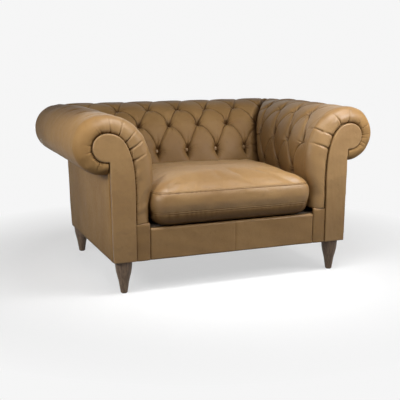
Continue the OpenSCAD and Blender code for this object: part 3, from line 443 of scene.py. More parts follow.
def pad_rows(section):
    """t values of the grid's rows, from the lower inside edge over the roll."""
    down = np.linspace(section.way_low, 0, round(section.way_low / GRID) + 1)
    over = section.radius * math.radians(section.end)
    out = np.linspace(0, -1, round(over / GRID) + 1)[1:]
    return np.concatenate([section.t_at(down), out])


def arm_nodes(places):
    """(row, place along the arm) of an arm's buttons."""
    k = sizes("buttons")
    whole = [(r, places.tuft_y + (n - 0.5) * k.arm_pitch) for r in (1, 3) for n in range(1, 5)]
    return whole + [(2, places.tuft_y + n * k.arm_pitch) for n in range(4)]


def back_nodes():
    """(row, place across) of the back's buttons."""
    k = sizes("buttons")
    return [(r, n * k.back_pitch) for r in (1, 3) for n in range(-2, 3)] + \
        [(2, (n + 0.5) * k.back_pitch) for n in range(-3, 3)]


# Rounding of the mitred edges: its depth inside and over the rolls, and the way it takes
CORNER_DEPTH, OUTER_CORNER_DEPTH, CORNER_WAY = 0.020, 0.006, 0.026
# Columns of a pad's lining side
INNER_COLS = 9

# Pleats where each arm's leather is drawn in to its facing: (way over the roll, distance
# from the facing) at both ends, depth and width. Ways count down inside from the roll's
# top, and are negative over the outside
PLEATS = {
    "left": [
        (0.231, 0.000, 0.250, 0.080, 0.0064, 0.0062), (0.180, 0.000, 0.202, 0.095, 0.0072, 0.0062),
        (0.135, 0.000, 0.151, 0.085, 0.0068, 0.0062), (0.080, 0.000, 0.083, 0.100, 0.0051, 0.0055),
        (0.022, 0.000, 0.019, 0.075, 0.0047, 0.0055), (-0.026, 0.000, -0.045, 0.042, 0.0047, 0.0047),
        (-0.048, 0.000, -0.061, 0.044, 0.0043, 0.0047), (-0.160, 0.000, -0.166, 0.042, 0.0047, 0.0047),
        (-0.205, 0.000, -0.217, 0.044, 0.0051, 0.0047), (-0.310, 0.000, -0.326, 0.050, 0.0051, 0.0047),
    ],
    "right": [
        (0.225, 0.000, 0.258, 0.112, 0.0072, 0.0070), (0.155, 0.000, 0.186, 0.069, 0.0072, 0.0070),
        (0.186, 0.069, 0.199, 0.150, 0.0059, 0.0062), (0.070, 0.000, 0.093, 0.085, 0.0064, 0.0062),
        (0.019, 0.000, 0.003, 0.078, 0.0051, 0.0055), (-0.080, 0.000, -0.070, 0.065, 0.0047, 0.0047),
        (-0.125, 0.000, -0.131, 0.083, 0.0051, 0.0047), (-0.176, 0.000, -0.185, 0.060, 0.0047, 0.0047),
        (-0.201, 0.000, -0.205, 0.069, 0.0043, 0.0047), (-0.230, 0.000, -0.252, 0.067, 0.0047, 0.0047),
        (-0.262, 0.000, -0.265, 0.058, 0.0043, 0.0047),
    ],
}
# Small puckers of an arm's leather along its facing: height, distance and reach
FACING_PUCKERS, FACING_PUCKER_PITCH, FACING_PUCKER_REACH = 0.0020, 0.0150, 0.017
# Where the leather tucks in behind the facing's edge: share of the front rounding's width
# and of its depth
TUCK_WIDTH, TUCK_DEPTH = 0.24, 0.28
# Waves of the front rounding, and the way over which its folds set in
FRONT_WAVES, FRONT_WAVE, FRONT_RISE = 0.0012, 0.07, 0.006
# Height of a pleat or pucker at which the shade painted in it is full, how much shade is
# painted in the seams at the facing and the mitre, and the reach of that painted shade along the facing
PLEAT_DARK, ARM_PUCKER_DARK, BACK_PUCKER_DARK = 0.0045, 0.0038, 0.004
SEAM_PAINTED_SHADE, SEAM_SHADE_REACH = 0.9, 0.007
SIDE_SEED = {"left": 11, "right": 23}
BACK_SEED = 37


def arm_grid(places, side):
    """Outer skin of an inside arm as rows and columns of points, for the right side."""
    b, k, f = sizes("body"), sizes("buttons"), sizes("facings")
    o, back, seed = places.arm(), places.back(), SIDE_SEED[side]
    t = pad_rows(o)[:, None]
    u, z = o.at(t)
    nu, nz = o.outward(t)
    way = o.way_at(t)
    fo = places.facing(b.pad_low_z, places.roll_end)
    fu, fz = fo.at(t)
    fnu, fnz = fo.outward(t)
    fu, fz = fu + SEAM_GAP * fnu, fz + SEAM_GAP * fnz

    tuck = np.radians(np.linspace(0, 90, 7))
    turn = np.radians(np.linspace(0, 90, 27))[1:]
    share = np.concatenate([TUCK_WIDTH * (1 - np.cos(tuck)),
                            TUCK_WIDTH + (1 - TUCK_WIDTH) * np.sin(turn)])[None]
    deep = np.concatenate([TUCK_DEPTH * (1 - np.sin(tuck)), 1 - np.cos(turn)])[None]
    side_share = np.concatenate([-np.cos(tuck), np.sin(turn)])[None]
    front_share = np.concatenate([np.sin(tuck), np.cos(turn)])[None]
    x0, z0 = fu + (u - fu) * share, fz + (z - fz) * share
    y0 = places.front_y + f.front_set + f.front_round * deep + 0 * x0
    steps = np.sqrt(sum(np.diff(v, axis=1) ** 2 for v in (x0, y0, z0)))
    along0 = np.concatenate([np.zeros((len(t), 1)), np.cumsum(steps, axis=1)], axis=1)
    way0 = way + 0 * x0
    fold0 = creases(way0, along0, PLEATS[side])
    beat = 2 * math.pi * way0 / FACING_PUCKER_PITCH + 4 * ripples(way0, 0 * along0, seed, 0.06)
    small = FACING_PUCKERS * np.exp(-along0 / FACING_PUCKER_REACH) * np.clip(np.cos(beat), 0, 1) ** 2
    waves = FRONT_WAVES * ripples(way0, along0, seed + 1, FRONT_WAVE)
    sink = (fold0 + small - waves) * ease(along0 / FRONT_RISE)
    x0, z0 = x0 - sink * nu * side_share, z0 - sink * nz * side_share
    y0 = y0 + sink * front_share

    rad = u - places.arc_x
    straight = np.where(rad > 0, places.arc_y, back.face(z) - MITRE_GAP) - places.full_y
    total = straight + mitre_turn(rad) * np.maximum(rad, 0)
    cols = round(float(total.max()) / GRID)
    s = total * (np.arange(1, cols + 1) / cols)[None]
    y = places.full_y + np.minimum(s, straight)
    bend = bend_at(rad, s - straight)
    c = (places.full_y + s - places.tuft_y) / k.arm_pitch + 0.5
    depth, crease, wrinkle = buttoned(o, "arm", t, c, y, arm_nodes(places), seed)
    way1 = way + 0 * s
    wrinkle += creases(way1, y - places.full_y + along0[:, -1:], PLEATS[side])
    corner = corner_sink(rad, total - s)
    sink = skin_sink(depth, corner, wrinkle, way1, y, seed, t)
    x, zz = u - sink * nu, z - sink * nz
    reach = x - places.arc_x
    turned = bend > 0
    px = np.where(turned, places.arc_x + reach * np.cos(bend), x)
    py = np.where(turned, places.arc_y + reach * np.sin(bend), y + np.abs(nu) * corner * (rad <= 0))
    grid = np.concatenate([np.stack([x0, y0, z0], axis=-1), places.lowered(px, py, zz)], axis=1)
    # Painted shade in the pleats and puckers, along the seam at the facing, and in the mitred corners
    dark0 = np.clip((fold0 + small) / PLEAT_DARK, 0, 1) + np.exp(-along0 / SEAM_SHADE_REACH) * SEAM_PAINTED_SHADE
    dark1 = crease + wrinkle / ARM_PUCKER_DARK + corner / CORNER_DEPTH * SEAM_PAINTED_SHADE
    return grid, np.clip(np.concatenate([dark0, dark1], axis=1), 0, 1), t[:, 0]


def arm_inner(places, t):
    """Lining side of an arm's pad, with the same rows."""
    b = sizes("body")
    o, back = places.arm(b.pad_t), places.back(b.pad_t)
    u, z = o.at(t[:, None])
    rad = u - places.arc_x
    start = places.facing_back_y + GAP / 2
    straight = np.where(rad > 0, places.arc_y, back.face(z) - MITRE_GAP) - start
    total = straight + mitre_turn(rad) * np.maximum(rad, 0)
    s = total * np.linspace(0, 1, INNER_COLS)[None]
    bend = bend_at(rad, s - straight)
    x = np.where(bend > 0, places.arc_x + rad * np.cos(bend), u + 0 * s)
    y = np.where(bend > 0, places.arc_y + rad * np.sin(bend), start + np.minimum(s, straight))
    return places.lowered(x, y, z + 0 * s)


def back_grid(places):
    """Outer skin of the inside back, from the left mitre to the right one."""
    o, arm = places.back(), places.arm()
    t = pad_rows(o)[:, None]
    u, z = o.at(t)
    nu, nz = o.outward(t)
    rad = u - places.arc_y
    straight = np.where(rad > 0, places.arc_x, arm.face(z) - MITRE_GAP)
    total = straight + mitre_turn(rad) * np.maximum(rad, 0)
    half = round(float(total.max()) / GRID)
    s = total * (np.arange(-half, half + 1) / half)[None]
    flat = np.clip(s, -straight, straight)
    bend = bend_at(rad, np.abs(s) - straight)
    c = s / sizes("buttons").back_pitch
    depth, crease, wrinkle = buttoned(o, "back", t, c, flat, back_nodes(), BACK_SEED)
    corner = corner_sink(rad, total - np.abs(s))
    sink = skin_sink(depth, corner, wrinkle, o.way_at(t) + 0 * s, flat, BACK_SEED, t)
    v, zz = u - sink * nu, z - sink * nz
    across = np.abs(flat) + np.abs(nu) * corner * (rad <= 0)
    reach = v - places.arc_y
    turned = bend > 0
    px = np.sign(s) * np.where(turned, places.arc_x + reach * np.sin(bend), across)
    py = np.where(turned, places.arc_y + reach * np.cos(bend), v)
    # Painted shade in the folds, the puckers and the mitred corners
    dark = np.clip(crease + wrinkle / BACK_PUCKER_DARK + corner / CORNER_DEPTH * SEAM_PAINTED_SHADE, 0, 1)
    return places.lowered(px, py, zz), dark, t[:, 0]


def back_inner(places, t):
    """Lining side of the back's pad, with the same rows."""
    b = sizes("body")
    o, arm = places.back(b.pad_t), places.arm(b.pad_t)
    u, z = o.at(t[:, None])
    rad = u - places.arc_y
    straight = np.where(rad > 0, places.arc_x, arm.face(z) - MITRE_GAP)
    total = straight + mitre_turn(rad) * np.maximum(rad, 0)
    s = total * np.linspace(-1, 1, 2 * INNER_COLS - 1)[None]
    bend = bend_at(rad, np.abs(s) - straight)
    x = np.sign(s) * np.where(bend > 0, places.arc_x + rad * np.sin(bend), np.minimum(np.abs(s), straight))
    y = np.where(bend > 0, places.arc_y + rad * np.cos(bend), u + 0 * s)
    return places.lowered(x, y, z + 0 * s)


def strip_between(ring_a, ring_b):
    """Triangles that close the strip between two rows of point numbers."""
    faces, i, j = [], 0, 0
    na, nb = len(ring_a) - 1, len(ring_b) - 1
    while i < na or j < nb:
        if j == nb or (i < na and (i + 1) / na <= (j + 1) / nb):
            faces.append((ring_a[i], ring_a[i + 1], ring_b[j]))
            i += 1
        else:
            faces.append((ring_a[i], ring_b[j + 1], ring_b[j]))
            j += 1
    return faces


def closed_pad(outer, inner):
    """A closed mesh from an outer and an inner grid with the same rows."""
    rows, m = outer.shape[:2]
    k = inner.shape[1]
    base = rows * m
    i, j = np.meshgrid(np.arange(rows - 1), np.arange(m - 1), indexing="ij")
    a = (i * m + j).ravel()
    skin = np.stack([a, a + 1, a + m + 1, a + m], axis=1)
    i, j = np.meshgrid(np.arange(rows - 1), np.arange(k - 1), indexing="ij")
    a = (base + i * k + j).ravel()
    lining = np.stack([a, a + k, a + k + 1, a + 1], axis=1)
    a, c = np.arange(rows - 1) * m, base + np.arange(rows - 1) * k
    first = np.stack([a, a + m, c + k, c], axis=1)
    a, c = a + m - 1, c + k - 1
    last = np.stack([a, c, c + k, a + m], axis=1)
    faces = [tuple(v) for v in np.concatenate([skin, lining, first, last]).tolist()]
    low = strip_between(list(range(m)), list(range(base, base + k)))
    high = strip_between(list(range(base - m, base)), list(range(base + (rows - 1) * k, base + rows * k)))
    faces += [f[::-1] for f in low] + high
    return np.concatenate([outer.reshape(-1, 3), inner.reshape(-1, 3)]), faces


def for_side(side, points, faces):
    """A form of the right side as it is, or mirrored for the left."""
    if side == "right":
        return points, faces
    return points * np.array([-1.0, 1.0, 1.0]), [f[::-1] for f in faces]


# ---------------------------------------------------------------- pieces

def new_piece(name, points, faces, material, fold=None, dull=None):
    mesh = bpy.data.meshes.new(name)
    mesh.from_pydata(np.asarray(points).tolist(), [], faces)
    mesh.validate()
    for layer, values in (("fold", fold), ("dull", dull)):
        if values is not None:
            set_layer(mesh, layer, values)
    mesh.polygons.foreach_set("use_smooth", [True] * len(mesh.polygons))
    piece = bpy.data.objects.new(name, mesh)
    bpy.context.scene.collection.objects.link(piece)
    mesh.materials.append(material)
    return piece


def set_layer(mesh, name, values):
    """Stores a value per point, such as the shade painted there (the fold layer) or how dull the leather is
    there.
    """
    layer = mesh.attributes.get(name) or mesh.attributes.new(name, "FLOAT", "POINT")
    layer.data.foreach_set("value", np.asarray(values, np.float32))


def place(piece, body, nodes):
    """Hangs a piece on the body it rides on and hides the CAD nodes it stands for."""
    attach(piece, body)
    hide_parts(*nodes)
    return piece


def evaluated(piece):
    """Applies a piece's modifiers to its mesh."""
    graph = bpy.context.evaluated_depsgraph_get()
    mesh = bpy.data.meshes.new_from_object(piece.evaluated_get(graph), depsgraph=graph)
    old = piece.data
    piece.modifiers.clear()
    piece.data = mesh
    bpy.data.meshes.remove(old)
    return piece


def vectors(mesh, kind):
    """A mesh's coordinates ("co") or normals ("normal") as rows."""
    flat = np.empty(len(mesh.vertices) * 3, np.float32)
    mesh.vertices.foreach_get(kind, flat)
    return flat.reshape(-1, 3).astype(float)


def set_coords(mesh, points):
    mesh.vertices.foreach_set("co", np.asarray(points, np.float32).ravel())
    mesh.update()


def fix_normals(piece):
    """Turns all faces of a closed piece outward."""
    bm = bmesh.new()
    bm.from_mesh(piece.data)
    bmesh.ops.recalc_face_normals(bm, faces=bm.faces)
    bm.to_mesh(piece.data)
    bm.free()


def remeshed(piece, cell, rounds):
    """Lays an even skin of cells over a piece and softens it."""
    mod = piece.modifiers.new("remesh", "REMESH")
    mod.mode, mod.voxel_size, mod.use_smooth_shade = "VOXEL", cell, True
    soft = piece.modifiers.new("soften", "SMOOTH")
    soft.factor, soft.iterations = 0.5, rounds
    return evaluated(piece)


# ---------------------------------------------------------------- materials

class Nodes:
    """A short way to lay out a material's nodes."""

    def __init__(self, name):
        self.material = bpy.data.materials.new(name)
        self.material.use_nodes = True
        self.tree = self.material.node_tree
        self.tree.nodes.clear()
        self.out = self.node("OutputMaterial")
        self.shader = self.node("BsdfPrincipled")
        self.put(self.out.inputs[0], self.shader.outputs[0])
        self.place = self.node("TexCoord").outputs["Object"]

    def put(self, socket, value):
        """Links an input to another node's output, or sets it to a number or a colour."""
        if isinstance(value, bpy.types.NodeSocket):
            self.tree.links.new(value, socket)
        elif socket.type == "RGBA":
            socket.default_value = (*value, 1)
        else:
            socket.default_value = value

    def node(self, kind, **inputs):
        """A new node, with its inputs by name: an underscore stands for a space."""
        node = self.tree.nodes.new("ShaderNode" + kind)
        for name, value in inputs.items():
            self.put(node.inputs[name.replace("_", " ")], value)
        return node

    def stretched(self, scale):
        return self.node("Mapping", Vector=self.place, Scale=scale).outputs[0]

    def noise(self, scale, detail=3.0, rough=0.5, distort=0.0, vector=None):
        return self.node("TexNoise", Vector=vector or self.place, Scale=scale, Detail=detail,
                         Roughness=rough, Distortion=distort).outputs["Fac"]

    def cells(self, scale):
        node = self.node("TexVoronoi", Vector=self.place, Scale=scale)
        node.feature = "DISTANCE_TO_EDGE"
        return node.outputs["Distance"]

    def attribute(self, name):
        node = self.node("Attribute")
        node.attribute_name = name
        return node.outputs["Fac"]

    def fitted(self, value, low, high, to_low=0.0, to_high=1.0):
        return self.node("MapRange", Value=value, From_Min=low, From_Max=high,
                         To_Min=to_low, To_Max=to_high).outputs[0]

    def blend(self, a, b, share):
        node = self.tree.nodes.new("ShaderNodeMix")
        node.data_type = "RGBA"
        self.put(node.inputs["Factor"], share)
        for name, value in (("A", a), ("B", b)):
            self.put([s for s in node.inputs if s.name == name and s.type == "RGBA"][0], value)
        return [s for s in node.outputs if s.type == "RGBA"][0]

    def maths(self, kind, a, b):
        node = self.node("Math")
        node.operation = kind
        self.put(node.inputs[0], a)
        self.put(node.inputs[1], b)
        return node.outputs[0]

    def bump(self, height, distance, strength, normal=None):
        before = {} if normal is None else {"Normal": normal}
        return self.node("Bump", Height=height, Distance=distance, Strength=strength, **before).outputs[0]

    def finish(self, colour, rough, normal=None, **sockets):
        sockets.update(Base_Color=colour, Roughness=rough)
        if normal is not None:
            sockets["Normal"] = normal
        for name, value in sockets.items():
            self.put(self.shader.inputs[name.replace("_", " ")], value)
        return self.material


def tan_leather():
    """Aniline leather: broad and fine mottling, shade painted from the fold layer, a fine pebbled grain."""
    name = "tan_leather_look"
    if name in bpy.data.materials:
        return bpy.data.materials[name]
    c, n = sizes("finishes"), Nodes(name)
    broad = n.fitted(n.noise(5.5, 3.0, 0.55), 0.34, 0.68)
    spots = n.fitted(n.noise(38.0, 4.0, 0.6, 0.4), 0.55, 0.85, 0.0, 0.55)
    tone = n.blend(c.leather_mid, c.leather_light, broad)
    tone = n.blend(tone, [v * 0.72 for v in c.leather_mid], spots)
    # Painted shade: the fold layer mixes in the dark leather in folds, seams, pits and recesses
    tone = n.blend(tone, c.leather_dark, n.fitted(n.attribute("fold"), 0.15, 1.0, 0.0, 0.85))
    normal = n.bump(n.cells(620.0), 0.00022, 0.55)
    normal = n.bump(n.noise(95.0, 5.0, 0.62, 0.9), 0.0011, 0.35, normal)
    normal = n.bump(n.noise(24.0, 3.0, 0.5, 0.6), 0.004, 0.30, normal)
    rough = n.fitted(n.noise(70.0, 3.0, 0.6), 0.3, 0.75, 0.42, 0.54)
    matt = n.maths("MAXIMUM", n.attribute("dull"), n.attribute("fold"))
    return n.finish(tone, rough, normal, Specular_IOR_Level=n.fitted(matt, 0, 1, 0.45, 0.03),
                    Coat_Weight=n.fitted(matt, 0, 1, 0.30, 0.0), Coat_Roughness=0.30, Coat_IOR=1.45)


def leg_wood():
    """Greyed wood with a streaked grain along the leg."""
    name = "leg_wood_look"
    if name in bpy.data.materials:
        return bpy.data.materials[name]
    c, n = sizes("finishes"), Nodes(name)
    along = n.stretched((1.0, 1.0, 0.09))
    fibre = n.fitted(n.noise(210.0, 5.0, 0.65, 0.3, along), 0.32, 0.70)
    figure = n.fitted(n.noise(26.0, 2.0, 0.5, 1.2, along), 0.35, 0.65)
    tone = n.blend(c.wood_dark, c.wood_light, fibre)
    tone = n.blend(tone, [v * 0.8 for v in c.wood_dark], n.maths("MULTIPLY", figure, 0.45))
    return n.finish(tone, n.fitted(fibre, 0, 1, 0.42, 0.58), n.bump(fibre, 0.0004, 0.4),
                    Specular_IOR_Level=0.4)


def simple_material(name, light, dark, scale, rough, stretch=(1, 1, 1), metal=0.0):
    """Two mottled tones with a matching bump, for pieces that are seldom seen."""
    if name in bpy.data.materials:
        return bpy.data.materials[name]
    n = Nodes(name)
    grain = n.fitted(n.noise(scale, 4.0, 0.6, 0.2, n.stretched(stretch)), 0.3, 0.7)
    return n.finish(n.blend(dark, light, grain), n.fitted(grain, 0, 1, rough, rough + 0.12),
                    n.bump(grain, 0.0004, 0.4), Metallic=metal)


def woven(name, light, dark):
    """Plain weave whose threads cross at right angles."""
    if name in bpy.data.materials:
        return bpy.data.materials[name]
    n = Nodes(name)
    waves = []
    for direction in ("X", "Y"):
        wave = n.node("TexWave", Vector=n.place, Scale=55.0, Distortion=0.6)
        wave.bands_direction = direction
        waves.append(wave.outputs["Fac"])
    weave = n.maths("MAXIMUM", *waves)
    return n.finish(n.blend(dark, light, weave), 0.85, n.bump(weave, 0.0005, 0.6), Sheen_Weight=0.2)


# ---------------------------------------------------------------- operators

def poll_scene(operator):
    """The sizes have to be registered before a piece is built."""
    if not hasattr(bpy.context.scene, "snuggler_body"):
        raise RuntimeError(f"{operator.bl_idname}: register the chair's sizes first")


# Where a roll's leather turns from polished to dull: share of its section before and over
# its top, distance from the facings, and how dull the inside of the arms and the back are
DULL_RISE, DULL_FROM = 0.06, 0.35
DULL_START, DULL_REACH = 0.07, 0.24
DULL_ARMS, DULL_BACK = 0.55, 0.78
# Least shade painted on the leather deep inside the seat, and painted shade along the rolls' tops behind the
# facings
INNER_SHADE = 0.55
TOP_SHADE, TOP_PLACE, TOP_REACH = 0.58, -0.06, 0.18


# Where in the section the painted shade inside the seat sets in, and over what share it deepens
SHADE_START, SHADE_REACH = 0.1, 0.6


def dullness(grid, t, places, inside):
    """How dull each point of a pad is, and the least shade painted on it."""
    inward = ease((grid[:, :, 1] - places.front_y - DULL_START) / DULL_REACH)
    outside = ease((DULL_RISE * (1 + 4 * inward) - t[:, None]) / DULL_FROM)
    top = TOP_SHADE * np.exp(-((t - TOP_PLACE) / TOP_REACH) ** 2)
    shade = inward * np.maximum(INNER_SHADE * ease((t - SHADE_START) / SHADE_REACH), top)[:, None]
    return np.maximum(outside, inside * inward).ravel(), shade


def buttoned_pad(name, node, skin, lining, places, inside, side="right"):
    """A pad from its buttoned skin (grid, painted shade, rows) and its lining side."""
    grid, dark, t = skin
    dull, shade = dullness(grid, t, places, inside)
    points, faces = for_side(side, *closed_pad(grid, lining))
    behind = np.zeros(lining.shape[0] * lining.shape[1])
    # The fold layer carries the painted shade of the folds and of the seat's inside
    piece = new_piece(name, points, faces, tan_leather(), dull=np.concatenate([dull, behind]),
                      fold=np.concatenate([np.maximum(dark, shade).ravel(), behind]))
    return place(piece, "chair", [node])


class SNUGGLER_OT_inside_arms(bpy.types.Operator):
    """Builds the two deep-buttoned inside arms with their rolls"""
    bl_idname = "snuggler.inside_arms"
    bl_label = "Inside arms"

    def execute(self, context):
        poll_scene(self)
        places = Places()
        for side in ("left", "right"):
            skin = arm_grid(places, side)
            buttoned_pad("inside_arm_leather_" + side, "inside_arm_" + side, skin, arm_inner(places, skin[2]),
                         places, DULL_ARMS, side)
        return {"FINISHED"}


class SNUGGLER_OT_inside_back(bpy.types.Operator):
    """Builds the deep-buttoned inside back with its roll"""
    bl_idname = "snuggler.inside_back"
    bl_label = "Inside back"

    def execute(self, context):
        poll_scene(self)
        places = Places()
        skin = back_grid(places)
        buttoned_pad("inside_back_leather", "inside_back", skin, back_inner(places, skin[2]),
                     places, DULL_BACK)
        return {"FINISHED"}


BUTTON_RINGS, BUTTON_SIDES = 9, 28
# How far a button's seat stands out of the pit's bottom
BUTTON_RISE = 0.010
# Rings behind a button's widest place, where its leather gathers: share of the radius and height
BUTTON_NECK = ((0.97, -0.0022), (0.8, -0.0050), (0.5, -0.0080))


def button_form(seed):
    """A leather-covered button: a soft dome whose leather gathers behind it."""
    k = sizes("buttons")
    r = k.button_d / 2
    rng = np.random.RandomState(seed)
    points, faces = [(0.0, 0.0, k.button_dome)], []
    profile = [(math.sin(a) * r, k.button_dome * math.cos(a) ** 0.8)
               for a in np.linspace(0.18, math.pi / 2, BUTTON_RINGS)]
    profile += [(r * part, z) for part, z in BUTTON_NECK]
    shift = rng.uniform(0, 2 * math.pi)
    for i, (rad, z) in enumerate(profile):
        gather = 0.025 * max(0, i - BUTTON_RINGS + 3)
        for j in range(BUTTON_SIDES):
            turn = 2 * math.pi * j / BUTTON_SIDES
            w = rad * (1 + gather * math.cos(9 * turn + shift) * 0.6)
            points.append((w * math.cos(turn), w * math.sin(turn), z))
    n = BUTTON_SIDES
    for j in range(n):
        faces.append((0, 1 + j, 1 + (j + 1) % n))
    for i in range(len(profile) - 1):
        for j in range(n):
            a, b = 1 + i * n + j, 1 + i * n + (j + 1) % n
            faces.append((a, a + n, b + n, b))
    faces.append(tuple(1 + (len(profile) - 1) * n + j for j in range(n))[::-1])
    # Painted shade on the rings where the leather gathers behind the button in its pit
    fold = [0.0] + [0.0 if i < BUTTON_RINGS - 2 else 0.7 for i in range(len(profile)) for _ in range(n)]
    return np.array(points), faces, np.array(fold)


def buttons_piece(name, spots, node):
    """One piece of like buttons, each set at (place, outward direction)."""
    points, faces, fold, base = [], [], [], 0
    for i, (at, out) in enumerate(spots):
        p, f, d = button_form(100 + i)
        turn = Vector((0, 0, 1)).rotation_difference(Vector(out)).to_matrix()
        p = p @ np.array(turn).T + np.array(at)
        points.append(p)
        faces += [tuple(v + base for v in q) for q in f]
        fold.append(d)
        base += len(p)
    piece = new_piece(name, np.concatenate(points), faces, tan_leather(), fold=np.concatenate(fold))
    return place(piece, "chair", [node])


class SNUGGLER_OT_buttons(bpy.types.Operator):
    """Sets the leather-covered buttons in the pits of the arms and the back"""
    bl_idname = "snuggler.buttons"
    bl_label = "Buttons"

    def execute(self, context):
        poll_scene(self)
        places, k = Places(), sizes("buttons")
        sunk = k.pit_depth - BUTTON_RISE
        arm, back = places.arm(), places.back()
        spots = []
        for row, y in arm_nodes(places):
            t = arm.t_at(ROW_WAYS["arm"][row - 1])
            (u, z), (nu, nz) = arm.at(t), arm.outward(t)
            if y < back.face(z) - k.button_d:
                at = places.lowered(u - nu * sunk, y, z - nz * sunk)
                spots.append((at, (float(nu), 0.0, float(nz))))
        for side, sign in (("left", -1), ("right", 1)):
            here = [((sign * p[0], p[1], p[2]), (sign * n[0], n[1], n[2])) for p, n in spots]
            buttons_piece("covered_buttons_arm_" + side, here, "arm_buttons_" + side)
        spots = []
        for row, x in back_nodes():
            t = back.t_at(ROW_WAYS["back"][row - 1])
            (v, z), (nv, nz) = back.at(t), back.outward(t)
            if abs(x) < arm.face(z) - k.button_d:
                at = places.lowered(x, v - nv * sunk, z - nz * sunk)
                spots.append((at, (0.0, float(nv), float(nz))))
        buttons_piece("covered_buttons_back", spots, "back_buttons")
        return {"FINISHED"}


def upright_plate(outline, y0, y1):
    """A closed plate from an (x, z) outline that stands between y0 and y1."""
    n = len(outline)
    points = [(x, y0, z) for x, z in outline] + [(x, y1, z) for x, z in outline]
    faces = [tuple(range(n)), tuple(range(2 * n - 1, n - 1, -1))]
    faces += [(j, n + j, n + (j + 1) % n, (j + 1) % n) for j in range(n)]
    return np.array(points), faces


# Waves of a facing's leather, each with its height and length, and how far its front is set back
FACING_WAVES = ((0.0009, 0.10), (0.0004, 0.03))
FACING_SET = 0.0006
# Shade painted on a facing's edges, in the groove beside the pad, from this far behind its front
FACING_EDGE_DARK, FACING_EDGE_FROM = 0.55, 0.004
# Where the facing's scroll ends, in degrees from its top
FACING_END = 192


class SNUGGLER_OT_facings(bpy.types.Operator):
    """Builds the scroll facings of the arms"""
    bl_idname = "snuggler.facings"
    bl_label = "Facings"

    def execute(self, context):
        poll_scene(self)
        b, places = sizes("body"), Places()
        o = places.facing(b.leg_h, FACING_END)
        t = np.concatenate([np.linspace(1, FACE_SHARE, 3), np.linspace(FACE_SHARE, 0, 60)[1:],
                            np.linspace(0, -1, 60)[1:]])
        x, z = o.at(t)
        outline = list(zip(x.tolist(), z.tolist())) + [(places.body_w / 2, b.leg_h)]
        for side, seed in (("left", 51), ("right", 53)):
            points, faces = for_side(side, *upright_plate(outline, places.front_y, places.facing_back_y))
            piece = new_piece("facing_leather_" + side, points, faces, tan_leather())
            fix_normals(piece)
            remeshed(piece, GRID, 2)
            co = vectors(piece.data, "co")
            front = np.clip(-vectors(piece.data, "normal")[:, 1], 0, 1)
            swell = sum(high * ripples(co[:, 0], co[:, 2], seed + i, wave)
                        for i, (high, wave) in enumerate(FACING_WAVES))
            co[:, 1] -= front * (swell - FACING_SET)
            set_coords(piece.data, co)
            # Painted shade on the facing's edges, which lie in the groove beside the pad
            edge = 1 - np.clip(front * 1.2, 0, 1)
            behind = co[:, 1] > places.front_y + FACING_EDGE_FROM
            set_layer(piece.data, "fold", edge * FACING_EDGE_DARK * behind)
            place(piece, "chair", ["facing_" + side])
        return {"FINISHED"}


# Narrow strips beside the base: how far and over what height the upper edge draws back, the
# height over which the strip is cut finely, the waves of its front, and the shade painted over all of it
STRIP_DRAW, STRIP_DRAW_H = 0.007, 0.012
STRIP_FINE_H, STRIP_WAVES, STRIP_PAINTED_SHADE = 0.014, 0.0006, 0.36
# Base front: rounding of its upper edge and its ends, place and width of its seam, and the
# shade painted over all of it
BASE_EDGE, BASE_END_DEPTH, BASE_END_W = 0.009, 0.005, 0.007
BASE_SEAM_X, BASE_SEAM_W, BASE_SEAM_DEPTH = 0.004, 0.0026, 0.0016
BASE_WAVES, BASE_PAINTED_SHADE = 0.0007, 0.28
# Sizes of the CAD source under the base's lip: deck, spring clips, wire, and the springs' inset
DECK_T, CLIP_T, CLIP_L, WIRE_D, SPRING_INSET = 0.011, 0.0012, 0.018, 0.0036, 0.014


def quarter_round(way):
    """How far a rounded edge draws back, as a share, at way 0 to 1 from the edge."""
    return 1 - math.sqrt(max(0.0, 1 - max(0.0, 1 - way) ** 2))


def border_strip(places, side, sign):
    """The narrow padded strip between a facing and the base front."""
    b, f = sizes("body"), sizes("facings")
    inner = places.base_w / 2 + GAP
    outer = places.roll_x - f.facing_in - f.facing_w - GAP
    depth = f.front_set + f.base_set
    turn = np.radians(np.linspace(0, 180, 25))
    px = (inner + outer) / 2 - (outer - inner) / 2 * np.cos(turn)
    py = places.front_y + depth - (depth - f.front_set) * np.sin(turn) ** 0.7
    plan = [(outer, places.facing_back_y), (inner, places.facing_back_y)] + list(zip(px, py))
    heights = np.concatenate([np.linspace(b.leg_h, b.pad_low_z - STRIP_FINE_H, 30),
                              np.linspace(b.pad_low_z - STRIP_DRAW_H, b.pad_low_z - GAP, 9)])
    points = []
    for z in heights:
        back = STRIP_WAVES * math.sin(z * 90 + sign) \
            + STRIP_DRAW * quarter_round((heights[-1] - z) / STRIP_DRAW_H)
        points += [(x, y + (back if i > 1 else 0), z) for i, (x, y) in enumerate(plan)]
    points, faces = for_side(side, np.array(points), ring_faces(len(heights), len(plan)))
    # Painted shade under the pad's edge and beside the facing, at the strip's top and outer edge
    rim = np.maximum(np.exp(-(heights[-1] - points[:, 2]) / 0.008),
                     np.exp(-(outer - np.abs(points[:, 0])) / 0.006))
    piece = new_piece("border_strip_" + side, points, faces, tan_leather(),
                      fold=np.maximum(STRIP_PAINTED_SHADE, 0.8 * rim))
    place(piece, "chair", ["front_border_" + side])


